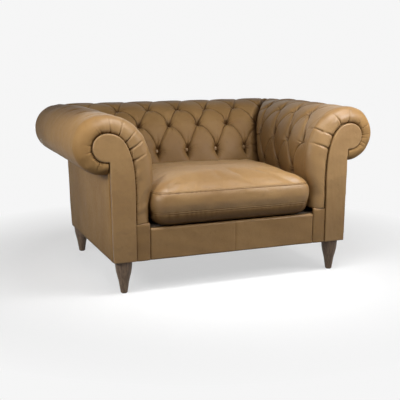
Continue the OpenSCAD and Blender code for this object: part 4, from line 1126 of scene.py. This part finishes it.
def base_front(places):
    """The padded cover over the front rail, with a rounded upper edge and a seam."""
    b, f, c = sizes("body"), sizes("facings"), sizes("cushion")
    y0 = places.front_y + f.base_set
    deck_front = places.facing_back_y + GAP + SPRING_INSET + WIRE_D - CLIP_L / 2 - 2 * GAP
    lip_back = deck_front - GAP
    rail_top = c.seat_h - DECK_T - 2 * CLIP_T - WIRE_D - 4 * GAP
    profile = [(y0, z) for z in np.linspace(b.leg_h, c.seat_h - BASE_EDGE, 22)[:-1]]
    profile += [(y0 + BASE_EDGE * (1 - math.cos(a)), c.seat_h - BASE_EDGE * (1 - math.sin(a)))
                for a in np.radians(np.linspace(0, 90, 9))]
    hidden = [(lip_back, c.seat_h), (lip_back, rail_top + GAP), (places.facing_back_y, rail_top + GAP),
              (places.facing_back_y, b.leg_h)]
    half = places.base_w / 2
    xs = np.linspace(-half, half, 150)
    points, fold = [], []
    for x in xs:
        side_in = min(1.0, (half - abs(x)) / BASE_END_W)
        seam = math.exp(-((x - BASE_SEAM_X) / BASE_SEAM_W) ** 2)
        for y, z in profile:
            wave = BASE_WAVES * math.sin(x * 31 + 5 * z * 9) * math.sin(z * 60)
            points.append((x, y + BASE_END_DEPTH * quarter_round(side_in) + BASE_SEAM_DEPTH * seam + wave, z))
            # Painted shade over the base, deeper in its seam's groove and at its ends beside the strips
            fold.append(max(BASE_PAINTED_SHADE, 0.75 * seam, 0.9 * (1 - side_in)))
        points += [(x, y, z) for y, z in hidden]
        fold += [max(BASE_PAINTED_SHADE, 0.9 * (1 - side_in))] * len(hidden)
    faces = ring_faces(len(xs), len(profile) + len(hidden))
    piece = new_piece("base_front_leather", points, faces, tan_leather(), fold=fold)
    fix_normals(piece)
    place(piece, "chair", ["base_front"])


class SNUGGLER_OT_front_border(bpy.types.Operator):
    """Builds the base front and the two narrow strips beside it"""
    bl_idname = "snuggler.front_border"
    bl_label = "Front border"

    def execute(self, context):
        poll_scene(self)
        places = Places()
        for side, sign in (("left", -1), ("right", 1)):
            border_strip(places, side, sign)
        base_front(places)
        return {"FINISHED"}


# Outside panels: fullness and waves of the leather with the wave's length, the way over which
# both fade at the edges, the hem's place above the lower edge, width, depth and width of its painted shade
PANEL_FULL, PANEL_WAVES, PANEL_WAVE, PANEL_FADE = 0.0022, 0.0009, 0.16, 0.05
HEM_Z, HEM_W, HEM_DEPTH, HEM_DARK_W = 0.006, 0.0022, 0.0014, 0.004
# How far a panel's full face lies behind its outline
PANEL_SET = 0.0008
PANEL_ROWS = 44


def outside_panel(name, node, path, seed, side="right"):
    """A thin padded panel over a plan path of (x, y, outward x, outward y)."""
    b, places = sizes("body"), Places()
    zs = np.linspace(b.leg_h, places.panel_top_z, PANEL_ROWS)
    s = (zs - b.leg_h) / (places.panel_top_z - b.leg_h)
    lean = b.panel_lean * s
    path = np.array(path)
    ways = way_along(path[:, :2])
    outer, inner = np.zeros((2, PANEL_ROWS, len(path), 3))
    for j, (x, y, nx, ny) in enumerate(path):
        edge = np.minimum(1, np.minimum(ways[j], ways[-1] - ways[j]) / PANEL_FADE + 0.15)
        pillow = PANEL_FULL * np.sin(math.pi * np.clip(s, 0, 1)) ** 0.5 * ease(edge)
        wave = PANEL_WAVES * ripples(ways[j] + 0 * zs, zs, seed, PANEL_WAVE) \
            * ease(np.minimum(s, 1 - s) / PANEL_FADE)
        hem = HEM_DEPTH * np.exp(-((zs - b.leg_h - HEM_Z) / HEM_W) ** 2)
        out = lean + (pillow + wave) - hem - PANEL_SET
        for grid, off in ((outer, out), (inner, lean - b.panel_t)):
            grid[:, j] = np.stack([x + nx * off, y + ny * off, zs], axis=-1)
    points, faces = for_side(side, *closed_pad(outer, inner))
    fold = np.zeros(len(points))
    # Painted shade along the hem's groove
    fold[:len(points) // 2] = (0.5 * np.exp(-((outer[:, :, 2] - b.leg_h - HEM_Z) / HEM_DARK_W) ** 2)).ravel()
    piece = new_piece(name, points, faces, tan_leather(), fold=fold, dull=np.ones(len(points)))
    fix_normals(piece)
    return place(piece, "chair", [node])


class SNUGGLER_OT_outside_panels(bpy.types.Operator):
    """Builds the plain outside arms and the outside back"""
    bl_idname = "snuggler.outside_panels"
    bl_label = "Outside panels"

    def execute(self, context):
        poll_scene(self)
        b, places = sizes("body"), Places()
        half, r = places.body_w / 2, b.corner_r
        front = places.facing_back_y + GAP
        path = [(half, y, 1.0, 0.0) for y in np.linspace(front, places.body_back_y - r, 66)]
        turned = [(math.cos(a), math.sin(a)) for a in np.radians(np.linspace(0, 90, 14))[1:]]
        path += [(half - r + r * nx, places.body_back_y - r + r * ny, nx, ny) for nx, ny in turned]
        for side, seed in (("left", 65), ("right", 66)):
            outside_panel("outside_arm_leather_" + side, "outside_arm_" + side, path, seed, side)
        edge = half - r - GAP
        path = [(x, places.body_back_y, 0.0, 1.0) for x in np.linspace(edge, -edge, 96)]
        outside_panel("outside_back_leather", "outside_back", path, 71)
        return {"FINISHED"}


# Rings and points round the cushion, its plan's corner radius in half depths, how much of
# the inset the corner loses, and the least radius
CUSHION_ROWS, CUSHION_SIDES = 96, 240
CUSHION_CORNER, CORNER_LOSS, CORNER_LEAST = 0.22, 0.55, 0.012
# How the cushion's cover is filled: the simulation runs on every second ring and side
PRESSURE = 4.0
COVER_EASE = 0.010
SIM_FRAMES = 20
# What is held: this close to a seam, and this low over the deck
HELD_SEAM, HELD_LOW = 0.0012, 0.004
# How far a point may move in all and at the sides, the border's share of it, and the way
# from a seam over which the move sets in
FARTHEST_MOVE, SIDE_MOVE, BORDER_SHARE, SEAM_HOLD = 0.020, 0.001, 0.35, 0.006
# Added swell of the crown, its loss in front, and the rise over which it sets in
CROWN_SWELL, FRONT_LOSS, SWELL_RISE = 0.018, 0.35, 0.03
# The crown's inmost rings, and the reach over which they are smoothed where they close
CLOSING_ROWS, CLOSING_REACH = 22, 0.022
# Seams: height and half width of the rib, height, pitch, start and reach of the puckers
SEAM_RISE, SEAM_HALF = 0.0009, 0.0016
SEAM_PUCKER, SEAM_PUCKER_PITCH, SEAM_PUCKER_START, SEAM_PUCKER_REACH = 0.0009, 0.017, 0.003, 0.011
# Waves of the cover: height, length and the way from a seam over which they set in
COVER_WAVES, COVER_WAVE, COVER_WAVE_RISE = 0.0012, 0.12, 0.03
# Shade painted on the cover's underside, and the height under the lower seam over which it sets in
UNDER_PAINTED_SHADE, UNDER_REACH = 0.78, 0.014
# Distance of the close rings at a seam, how far they go, and the room they keep
SEAM_STEP, SEAM_SPAN, SEAM_ROOM = 0.0008, 0.0064, 0.0068


def cushion_half_depth():
    b, c = sizes("body"), sizes("cushion")
    return (b.seat_d + c.out - c.back_gap) / 2 - c.border_bulge


def cushion_profile():
    """Rings of the cushion: inset from the seams and height, from the underside to the crown."""
    c, half_d = sizes("cushion"), cushion_half_depth()
    low = c.seat_h + GAP
    under = [(0.94, 0), (0.6, 0), (0.30, 0), (0.12, 0.10), (0.036, 0.45), (0.012, 1)]
    border = [(-0.4, 0.22), (-1, 0.45), (-0.4, 0.74)]
    crown = [(0.030, 0), (0.070, 0.33), (0.128, 0.62), (0.22, 0.85), (0.5, 0.98), (0.97, 1.0)]
    rings = [(i * half_d, mix(low, c.low_seam_z, h)) for i, h in under]
    rings += [(i * c.border_bulge, mix(c.low_seam_z, c.high_seam_z, h)) for i, h in border]
    return rings + [(i * half_d, mix(c.high_seam_z, c.crown_z, h)) for i, h in crown]


def curve_through(points):
    """A close row of points along a smooth curve through the given ones, and their ways."""
    p = np.array([points[0], *points, points[-1]], float)
    out = []
    for i in range(1, len(p) - 2):
        for s in np.linspace(0, 1, 40, endpoint=False):
            out.append(0.5 * (2 * p[i] + (p[i + 1] - p[i - 1]) * s
                              + (2 * p[i - 1] - 5 * p[i] + 4 * p[i + 1] - p[i + 2]) * s ** 2
                              + (3 * p[i] - p[i - 1] - 3 * p[i + 1] + p[i + 2]) * s ** 3))
    out = np.array(out + [p[-1]])
    return out, way_along(out)


def way_along(points):
    """Way along a row of points in a plane, up to each of them."""
    return np.concatenate([[0], np.cumsum(np.hypot(*np.diff(points, axis=0).T))])


def cushion_rows():
    """(inset, height) of the cushion's rings, closer together at the two seams, and each
    ring's way from its nearer seam."""
    c = sizes("cushion")
    curve, way = curve_through(cushion_profile())
    inset, z = curve.T
    top = np.argmax(z)
    seams = [float(np.interp(seam_z, z[:top], way[:top])) for seam_z in (c.low_seam_z, c.high_seam_z)]
    even = [w for w in np.linspace(0, way[-1], CUSHION_ROWS)
            if min(abs(w - seam) for seam in seams) > SEAM_ROOM]
    steps = np.arange(-SEAM_SPAN, SEAM_SPAN + SEAM_STEP / 8, SEAM_STEP)
    near = [seam + step for seam in seams for step in steps]
    at = np.sort(np.concatenate([even, near]))
    if len(at) % 2 == 0:
        at = np.delete(at, 1)
    off = np.min([np.abs(at - seam) for seam in seams], axis=0)
    return np.interp(at, way, inset), np.interp(at, way, z), off


def oblong(hx, hy, r, n):
    """n places of equal way round a rounded oblong, from the middle of the front."""
    r = max(0.0005, min(r, hx, hy))
    dx, dy = hx - r, hy - r
    pts = []
    for cx, cy, start in ((dx, dy, 0), (-dx, dy, 90), (-dx, -dy, 180), (dx, -dy, 270)):
        for a in np.radians(np.linspace(start, start + 90, 24)):
            pts.append((cx + r * math.cos(a), cy + r * math.sin(a)))
    pts = np.array(pts + pts[:1])
    way = way_along(pts)
    at = (np.arange(n) / n) * way[-1]
    return np.stack([np.interp(at, way, pts[:, 0]), np.interp(at, way, pts[:, 1])], axis=1)


def ring_faces(m, n):
    """Faces of a closed tube of m rings with n points each."""
    faces = [(i * n + j, i * n + (j + 1) % n, (i + 1) * n + (j + 1) % n, (i + 1) * n + j)
             for i in range(m - 1) for j in range(n)]
    return faces + [tuple(range(n))[::-1], tuple((m - 1) * n + j for j in range(n))]


def filled(grid, held):
    """How far each point of a cover moves when a cloth simulation fills it with air."""
    m, n = grid.shape[:2]
    start = grid.reshape(-1, 3)
    trial = new_piece("cushion_trial", start, ring_faces(m, n), tan_leather())
    pins = trial.vertex_groups.new(name="held")
    pins.add(np.flatnonzero(np.repeat(held, n)).tolist(), 1.0, "REPLACE")
    cloth = trial.modifiers.new("cloth", "CLOTH")
    settings = cloth.settings
    settings.quality, settings.mass = 5, 0.25
    settings.use_pressure, settings.uniform_pressure_force = True, PRESSURE
    settings.shrink_min = -COVER_EASE
    settings.vertex_group_mass = "held"
    settings.effector_weights.gravity = 0
    cloth.collision_settings.use_collision = False
    cloth.point_cache.frame_end = SIM_FRAMES
    for step in range(1, SIM_FRAMES + 1):
        bpy.context.scene.frame_set(step)
    evaluated(trial)
    moved = (vectors(trial.data, "co") - start).reshape(m, n, 3)
    bpy.data.objects.remove(trial)
    bpy.context.scene.frame_set(1)
    far = np.linalg.norm(moved, axis=-1, keepdims=True)
    return moved * FARTHEST_MOVE * np.tanh(far / FARTHEST_MOVE) / np.maximum(far, 1e-9)


def spread(moved):
    """Values on every second ring and side, drawn out to all rings and sides."""
    m, n = moved.shape[:2]
    rings = np.zeros((2 * m - 1, n, 3))
    rings[::2] = moved
    rings[1::2] = (moved[:-1] + moved[1:]) / 2
    out = np.zeros((2 * m - 1, 2 * n, 3))
    out[:, ::2] = rings
    out[:, 1::2] = (rings + np.roll(rings, -1, axis=1)) / 2
    out = (np.roll(out, 1, axis=1) + 2 * out + np.roll(out, -1, axis=1)) / 4
    out[1:-1] = (out[:-2] + 2 * out[1:-1] + out[2:]) / 4
    return out


def closed_smoothly(grid):
    """The same rings, with the inmost ones' heights evened out over the place where they close."""
    gaps = np.linalg.norm(np.roll(grid, -1, axis=1) - grid, axis=2)
    rings = grid[-2 * CLOSING_ROWS:, ::2].reshape(-1, 3)
    weight = gaps[-2 * CLOSING_ROWS:, ::2].ravel() + 1e-6
    out, first = grid.copy(), len(grid) - CLOSING_ROWS
    for i in range(first, len(grid)):
        apart = ((grid[i][:, None, :2] - rings[None, :, :2]) ** 2).sum(axis=2)
        share = weight[None] * np.exp(-apart / CLOSING_REACH ** 2)
        even = (share * rings[None, :, 2]).sum(axis=1) / share.sum(axis=1)
        out[i, :, 2] += (even - grid[i][:, 2]) * ease((i - first) / (0.5 * CLOSING_ROWS))
    return out


def cushion_filled(grid, heights, off, half_x, mid_y):
    """The cover's rings after the simulation, set to the sizes of the source with a slight swell."""
    c, half_d = sizes("cushion"), cushion_half_depth()
    held = (off < HELD_SEAM) | (heights < c.seat_h + HELD_LOW)
    moved = spread(filled(grid[::2, ::2], held[::2]))
    share = np.where(heights > c.high_seam_z, 1.0, BORDER_SHARE) * (1 - np.exp(-(off / SEAM_HOLD) ** 2))
    moved *= share[:, None, None]
    moved[:, :, 0] = np.where(grid[:, :, 0] > 0, np.minimum(moved[:, :, 0], SIDE_MOVE),
                              np.maximum(moved[:, :, 0], -SIDE_MOVE))
    moved[:, :, 1] = np.where(grid[:, :, 1] > mid_y, np.minimum(moved[:, :, 1], SIDE_MOVE),
                              np.maximum(moved[:, :, 1], -c.border_bulge))
    grid = grid + moved
    rise = np.maximum(0, grid[:, :, 2] - c.high_seam_z)
    grid[:, :, 2] += rise * ((c.crown_z - c.high_seam_z) / rise.max() - 1)
    deep = (grid[:, :, 1] - mid_y) / half_d
    middle = np.clip(1 - np.abs(grid[:, :, 0] / half_x) ** 3, 0, 1) \
        * np.clip(1 - np.abs(deep) ** np.where(deep > 0, 5, 2), 0, 1) * (1 - FRONT_LOSS * ease(-deep))
    grid[:, :, 2] += CROWN_SWELL * middle * ease(rise / SWELL_RISE)
    grid = closed_smoothly(grid)
    grid[:, :, 2] = np.maximum(grid[:, :, 2], c.seat_h + GAP)
    return grid


def cushion_seams(off, round_way):
    """Rib, groove and puckers of the two seams, from 0 to 1, over rings and places round them."""
    rib = np.exp(-(off / SEAM_HALF) ** 2)[:, None]
    groove = np.exp(-((off - 2.2 * SEAM_HALF) / SEAM_HALF) ** 2)[:, None]
    beat = 2 * math.pi * round_way / SEAM_PUCKER_PITCH + 2.5 * np.sin(round_way * 23)
    gather = np.clip(np.cos(beat + 1.7 * np.sin(round_way * 41 + 1)), -0.2, 1)
    gather = gather * (0.6 + 0.4 * np.sin(round_way * 9 + 2))
    near = np.exp(-off / SEAM_PUCKER_REACH) * (1 - np.exp(-(off / SEAM_PUCKER_START) ** 2))
    return rib, groove, gather[None] * near[:, None]


class SNUGGLER_OT_seat_cushion(bpy.types.Operator):
    """Builds the loose boxed seat cushion: a cover filled by a cloth simulation, with ribbed seams"""
    bl_idname = "snuggler.seat_cushion"
    bl_label = "Seat cushion"

    def execute(self, context):
        poll_scene(self)
        c, places = sizes("cushion"), Places()
        half_d = cushion_half_depth()
        half_x = places.seat_w / 2 + c.under - c.border_bulge
        mid_y = places.front_y - c.out + c.border_bulge + half_d
        inset, heights, off = cushion_rows()
        m, n = len(inset), CUSHION_SIDES
        grid = np.zeros((m, n, 3))
        for i in range(m):
            corner = max(half_d * CUSHION_CORNER - inset[i] * CORNER_LOSS, CORNER_LEAST)
            plan = oblong(half_x - inset[i], half_d - inset[i], corner, n)
            grid[i] = np.stack([plan[:, 0], mid_y + plan[:, 1], np.full(n, heights[i])], axis=-1)
        grid = cushion_filled(grid, heights, off, half_x, mid_y)
        points = grid.reshape(-1, 3)
        piece = new_piece("seat_cushion_leather", points, ring_faces(m, n), tan_leather(),
                          fold=np.zeros(m * n))
        round_way = np.linspace(0, 1, n, endpoint=False) * 4 * (half_x + half_d)
        rib, groove, pucker = cushion_seams(off, round_way)
        wave = ripples(points[:, 0], points[:, 1] + points[:, 2], 91, COVER_WAVE).reshape(m, n)
        out = SEAM_RISE * rib - 0.6 * SEAM_RISE * groove - SEAM_PUCKER * pucker \
            + COVER_WAVES * wave * np.minimum(1, off / COVER_WAVE_RISE)[:, None]
        out = np.where(grid[:, :, 2] > c.seat_h + 0.01, out, 0)
        set_coords(piece.data, points + vectors(piece.data, "normal") * out.reshape(-1, 1))
        # Painted shade under the lower seam, where the cushion rests on the deck, and in the seams' grooves
        # and puckers
        below = UNDER_PAINTED_SHADE * ease((c.low_seam_z - heights) / UNDER_REACH)[:, None]
        set_layer(piece.data, "fold", np.clip(0.75 * groove + 0.5 * pucker + below, 0, 1).ravel())
        place(piece, "seat_cushion", ["seat_cushion_cover", "seat_cushion_core"])
        return {"FINISHED"}


# Deck: columns and rows, rounding of its upper edge and the way it takes, and the waves of
# its cloth with their length and the way over which they set in
DECK_COLS, DECK_ROWS = 120, 90
DECK_ROUND, DECK_ROUND_W = 0.003, 0.012
DECK_WAVES, DECK_WAVE, DECK_WAVE_RISE = 0.0008, 0.12, 0.03


class SNUGGLER_OT_seat_deck(bpy.types.Operator):
    """Builds the padded deck under the cushion"""
    bl_idname = "snuggler.seat_deck"
    bl_label = "Seat deck"

    def execute(self, context):
        poll_scene(self)
        lo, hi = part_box("seat_deck")
        x, y = np.meshgrid(np.linspace(lo[0], hi[0], DECK_COLS), np.linspace(lo[1], hi[1], DECK_ROWS))
        side = np.minimum(np.minimum(x - lo[0], hi[0] - x), np.minimum(y - lo[1], hi[1] - y))
        top = hi[2] - DECK_ROUND * (1 - ease(side / DECK_ROUND_W)) \
            - DECK_WAVES * (1 + ripples(x, y, 81, DECK_WAVE)) * ease(side / DECK_WAVE_RISE)
        points, faces = closed_pad(np.stack([x, y, top], axis=-1), np.stack([x, y, lo[2] + 0 * x], axis=-1))
        cloth = woven("deck_fabric_look", (0.13, 0.085, 0.045), (0.06, 0.038, 0.02))
        piece = new_piece("deck_cloth", points, faces, cloth)
        place(piece, "chair", ["seat_deck"])
        return {"FINISHED"}


LEG_NODES = ("leg_front_left", "leg_front_right", "leg_rear_left", "leg_rear_right")
# Size of a cell of the dust cover, how far inside the cut-out a row is drawn to its rim, in
# cells, and the cloth's sag with the way from the edge over which it sets in
COVER_CELL, COVER_RIM = 0.009, 0.7
COVER_SAG, COVER_SAG_REACH = 0.0015, 0.12


class SNUGGLER_OT_dust_cover(bpy.types.Operator):
    """Builds the thin cloth that is stretched under the frame, cut out round the legs"""
    bl_idname = "snuggler.dust_cover"
    bl_label = "Dust cover"

    def execute(self, context):
        poll_scene(self)
        b, (lo, hi) = sizes("body"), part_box("dust_cover")
        wide, deep = hi[0] - lo[0], hi[1] - lo[1]
        nx, ny = round(wide / COVER_CELL), round(deep / COVER_CELL)
        r = b.corner_r - b.panel_t
        v = np.linspace(lo[1], hi[1], ny)[:, None]
        past = np.clip(v - (hi[1] - r), 0, r)
        x = np.linspace(-1, 1, nx)[None] * (wide / 2 - r + np.sqrt(r * r - past ** 2))
        y = v + 0 * x
        gone = np.zeros(x.shape, bool)
        for node in LEG_NODES:
            low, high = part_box(node)
            cx, cy = (low[0] + high[0]) / 2, (low[1] + high[1]) / 2
            radius = (high[0] - low[0]) / 2 + b.panel_t / 4
            away = np.maximum(np.hypot(x - cx, y - cy), 1e-6)
            hole = radius - COVER_RIM * COVER_CELL
            gone |= away <= hole
            rim = (away < radius) & (away > hole)
            x, y = (np.where(rim, mid + (v - mid) / away * radius, v) for v, mid in ((x, cx), (y, cy)))
        edge = np.minimum(np.minimum(x - lo[0], hi[0] - x), np.minimum(y - lo[1], hi[1] - y))
        sag = COVER_SAG * ease(edge / COVER_SAG_REACH) * (0.7 + 0.3 * ripples(x, y, 95, 0.15))
        kept = [(i * nx + j, i * nx + j + 1, (i + 1) * nx + j + 1, (i + 1) * nx + j)
                for i in range(ny - 1) for j in range(nx - 1) if not gone[i:i + 2, j:j + 2].any()]
        used, cells = np.unique(np.array(kept), return_inverse=True)
        cells = cells.reshape(-1, 4)
        n = len(used)
        flat = np.stack([x.ravel()[used], y.ravel()[used]], axis=1)
        drop = sag.ravel()[used]
        points = np.concatenate([np.column_stack([flat, height - drop]) for height in (hi[2], lo[2])])
        sides = [(c[k], c[(k + 1) % 4]) for c in cells.tolist() for k in range(4)]
        once = set(sides)
        faces = [tuple(c) for c in cells.tolist()] + [tuple(v + n for v in c[::-1]) for c in cells.tolist()]
        faces += [(q, p, p + n, q + n) for p, q in sides if (q, p) not in once]
        cloth = woven("dust_fabric_look", (0.035, 0.034, 0.034), (0.016, 0.016, 0.016))
        piece = new_piece("dust_cloth", points, faces, cloth)
        place(piece, "chair", ["dust_cover"])
        return {"FINISHED"}


FRAME_FINISHES = {
    "frame_wood": dict(light=(0.52, 0.35, 0.19), dark=(0.36, 0.22, 0.11), scale=90, rough=0.6,
                       stretch=(0.15, 1, 1)),
    "lining_board": dict(light=(0.36, 0.26, 0.15), dark=(0.24, 0.16, 0.09), scale=160, rough=0.75),
    "spring_wire": dict(light=(0.34, 0.34, 0.35), dark=(0.22, 0.22, 0.23), scale=300, rough=0.32, metal=1.0),
    "zinc_steel": dict(light=(0.56, 0.56, 0.55), dark=(0.42, 0.42, 0.42), scale=260, rough=0.30, metal=1.0),
    "glide_plastic": dict(light=(0.045, 0.043, 0.042), dark=(0.025, 0.024, 0.023), scale=400, rough=0.45),
}


class SNUGGLER_OT_frame_finishes(bpy.types.Operator):
    """Gives the legs, the frame, the springs and the fittings their finishes"""
    bl_idname = "snuggler.frame_finishes"
    bl_label = "Frame finishes"

    def execute(self, context):
        poll_scene(self)
        finish_of = {"leg_wood": leg_wood()}
        for name, spec in FRAME_FINISHES.items():
            finish_of[name] = simple_material(name + "_look", **spec)
        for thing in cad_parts.values():
            if thing.hide_render:
                continue
            for i, part in enumerate(frame_slots(thing)):
                thing.material_slots[i].link = "OBJECT"
                thing.material_slots[i].material = finish_of.get(part, finish_of["frame_wood"])
        return {"FINISHED"}


def frame_slots(thing):
    """The finish that each material slot of a CAD node takes, from the frame's own materials."""
    return [held.name.split(".")[0] if held else "" for held in thing.data.materials]


class SNUGGLER_OT_stage(bpy.types.Operator):
    """Lays the pale floor, sets the soft lamps and places the camera"""
    bl_idname = "snuggler.stage"
    bl_label = "Stage"

    def execute(self, context):
        poll_scene(self)
        floor_and_backdrop()
        lamps()
        camera()
        return {"FINISHED"}


# The backdrop as the camera sees it: between these distances from the chair its own glow
# takes over from the lamps' light, and these are the glow's share and strength there
BACKDROP_SEEN = (1.0, 1.0, 1.0)
BACKDROP_REACH = (0.8, 1.45)
BACKDROP_SHARES = (0.54, 1.0)
BACKDROP_GLOWS = (1.0, 0.92)
# Share of its colour that the floor gives back to the chair
FLOOR_BOUNCE = 0.20
# Front and rear end of the flat floor, radius of the sweep behind it, top of the wall, half width
FLOOR_FRONT, FLOOR_BACK, SWEEP_R, WALL_TOP, FLOOR_HALF = -9.0, 6.0, 3.0, 9.0, 16.0
# Lamps: place, what they point at, size, watts and spread in degrees
LAMPS = {
    "above": ((0.10, -0.72, 1.50), (0.10, -0.70, 0.00), (1.3, 0.3), 4.6, 90),
    "front": ((0.20, -1.00, 1.35), (0.00, -0.30, 0.40), (1.2, 0.5), 4.8, 180),
    "front_right": ((0.90, -1.30, 1.20), (0.50, -0.46, 0.66), (0.4, 0.3), 0.9, 50),
    "scroll_left": ((-0.75, -1.00, 1.30), (-0.50, -0.47, 0.68), (0.3, 0.3), 0.35, 50),
    "behind": ((0.00, 2.30, 0.32), (0.00, 0.45, 0.36), (1.2, 0.3), 4.0, 90),
    "left": ((-1.40, -1.20, 1.00), (-0.55, -0.35, 0.42), (0.6, 0.6), 0.90, 70),
    "side": ((-1.60, -0.50, 1.00), (-0.60, -0.10, 0.50), (0.6, 0.4), 2.3, 90),
    "right": ((2.40, -1.60, 1.60), (0.30, -0.20, 0.40), (1.0, 1.0), 17.0, 180),
    "overhead": ((1.45, -0.95, 3.40), (0.00, -0.05, 0.35), (0.8, 0.8), 14.5, 180),
}
WORLD_LIGHT = 0.02


def floor_and_backdrop():
    """A plain pale floor that sweeps up behind. The camera sees it near white, and it keeps the shadow."""
    y, r = FLOOR_BACK, SWEEP_R
    run = [(FLOOR_FRONT, 0.0), (y, 0.0)]
    run += [(y + r * math.sin(a), r - r * math.cos(a)) for a in np.radians(np.linspace(0, 90, 48))[1:]]
    run += [(y + r, WALL_TOP)]
    points = [(x, y, z) for y, z in run for x in (-FLOOR_HALF, FLOOR_HALF)]
    faces = [(2 * i, 2 * i + 1, 2 * i + 3, 2 * i + 2) for i in range(len(run) - 1)]
    n = Nodes("stage_white")
    colour = sizes("finishes").floor
    ray = n.node("LightPath").outputs
    tone = n.blend(colour, [v * 0.985 for v in colour], n.noise(3.0))
    tone = n.blend([v * FLOOR_BOUNCE for v in colour], tone, ray["Is Camera Ray"])
    material = n.finish(tone, 0.9, Specular_IOR_Level=0.1)
    seen = n.maths("MAXIMUM", ray["Is Camera Ray"], ray["Is Glossy Ray"])
    seen = n.maths("MAXIMUM", seen, ray["Is Transmission Ray"])
    away = n.node("VectorMath")
    away.operation = "LENGTH"
    n.put(away.inputs[0], n.place)
    way = away.outputs["Value"]
    glow = n.node("Emission", Color=BACKDROP_SEEN, Strength=n.fitted(way, *BACKDROP_REACH, *BACKDROP_GLOWS))
    mixer = n.node("MixShader")
    share = n.maths("MULTIPLY", seen, n.fitted(way, *BACKDROP_REACH, *BACKDROP_SHARES))
    for socket, value in zip(mixer.inputs, (share, n.shader.outputs[0], glow.outputs[0])):
        n.put(socket, value)
    n.put(n.out.inputs[0], mixer.outputs[0])
    floor = new_piece("stage_floor", points, faces, material)


def lamps():
    """A weak even light all round, and the area lamps, which the camera doesn't see."""
    world = bpy.context.scene.world or bpy.data.worlds.new("world")
    bpy.context.scene.world = world
    world.use_nodes = True
    tree = world.node_tree
    tree.nodes.clear()
    out = tree.nodes.new("ShaderNodeOutputWorld")
    light = tree.nodes.new("ShaderNodeBackground")
    light.inputs["Color"].default_value = (1, 1, 1, 1)
    light.inputs["Strength"].default_value = WORLD_LIGHT
    tree.links.new(light.outputs[0], out.inputs[0])
    for name, (at, aim, size, watts, spread_degrees) in LAMPS.items():
        data = bpy.data.lights.new(name, "AREA")
        data.shape, data.energy = "RECTANGLE", watts
        data.size, data.size_y = size
        data.spread = math.radians(spread_degrees)
        lamp = bpy.data.objects.new(name, data)
        lamp.location = at
        lamp.visible_camera = False
        lamp.rotation_euler = (Vector(aim) - Vector(at)).to_track_quat("-Z", "Y").to_euler()
        bpy.context.scene.collection.objects.link(lamp)


# The photo's camera: place, degrees to the right and down, and lens in mm on a 36 mm sensor
CAMERA_AT = (-1.3192, -3.3304, 0.9793)
CAMERA_YAW, CAMERA_DOWN = 21.96, 11.245
CAMERA_LENS, SENSOR_WIDTH = 70.68, 36.0


def camera():
    """Sets the camera where the photo was taken."""
    data = bpy.data.cameras.new("camera")
    data.lens, data.sensor_width = CAMERA_LENS, SENSOR_WIDTH
    data.clip_end = 100.0
    eye = bpy.data.objects.new("camera", data)
    yaw, down = math.radians(CAMERA_YAW), math.radians(CAMERA_DOWN)
    forward = Vector((math.sin(yaw) * math.cos(down), math.cos(yaw) * math.cos(down), -math.sin(down)))
    eye.location = CAMERA_AT
    eye.rotation_euler = forward.to_track_quat("-Z", "Y").to_euler()
    bpy.context.scene.collection.objects.link(eye)
    bpy.context.scene.camera = eye
    bpy.context.scene.view_settings.view_transform = "Standard"


OPERATORS = (
    SNUGGLER_OT_inside_arms, SNUGGLER_OT_inside_back, SNUGGLER_OT_buttons, SNUGGLER_OT_facings,
    SNUGGLER_OT_front_border, SNUGGLER_OT_outside_panels, SNUGGLER_OT_seat_cushion,
    SNUGGLER_OT_seat_deck, SNUGGLER_OT_dust_cover, SNUGGLER_OT_frame_finishes, SNUGGLER_OT_stage,
)


class SNUGGLER_PT_panel(bpy.types.Panel):
    """Lists the chair's pieces and sizes"""
    bl_idname = "SNUGGLER_PT_panel"
    bl_label = "Snuggler chair"
    bl_space_type = "VIEW_3D"
    bl_region_type = "UI"
    bl_category = "Chair"

    def draw(self, context):
        for operator in OPERATORS:
            self.layout.operator(operator.bl_idname)
        for group, kind in GROUPS.items():
            box = self.layout.box()
            box.label(text=kind.__name__)
            for name in kind.__annotations__:
                box.prop(getattr(context.scene, "snuggler_" + group), name)


GROUPS = {"body": BodySizes, "buttons": ButtonSizes, "facings": FacingSizes, "cushion": CushionSizes,
          "finishes": Finishes}
CLASSES = (*GROUPS.values(), *OPERATORS, SNUGGLER_PT_panel)


def register():
    for kind in CLASSES:
        bpy.utils.register_class(kind)
    for group, kind in GROUPS.items():
        setattr(bpy.types.Scene, "snuggler_" + group, PointerProperty(type=kind))


def unregister():
    for group in GROUPS:
        delattr(bpy.types.Scene, "snuggler_" + group)
    for kind in reversed(CLASSES):
        bpy.utils.unregister_class(kind)


def main():
    register()
    for operator in OPERATORS:
        getattr(bpy.ops.snuggler, operator.bl_idname.split(".")[1])()


if __name__ == "__main__":
    main()
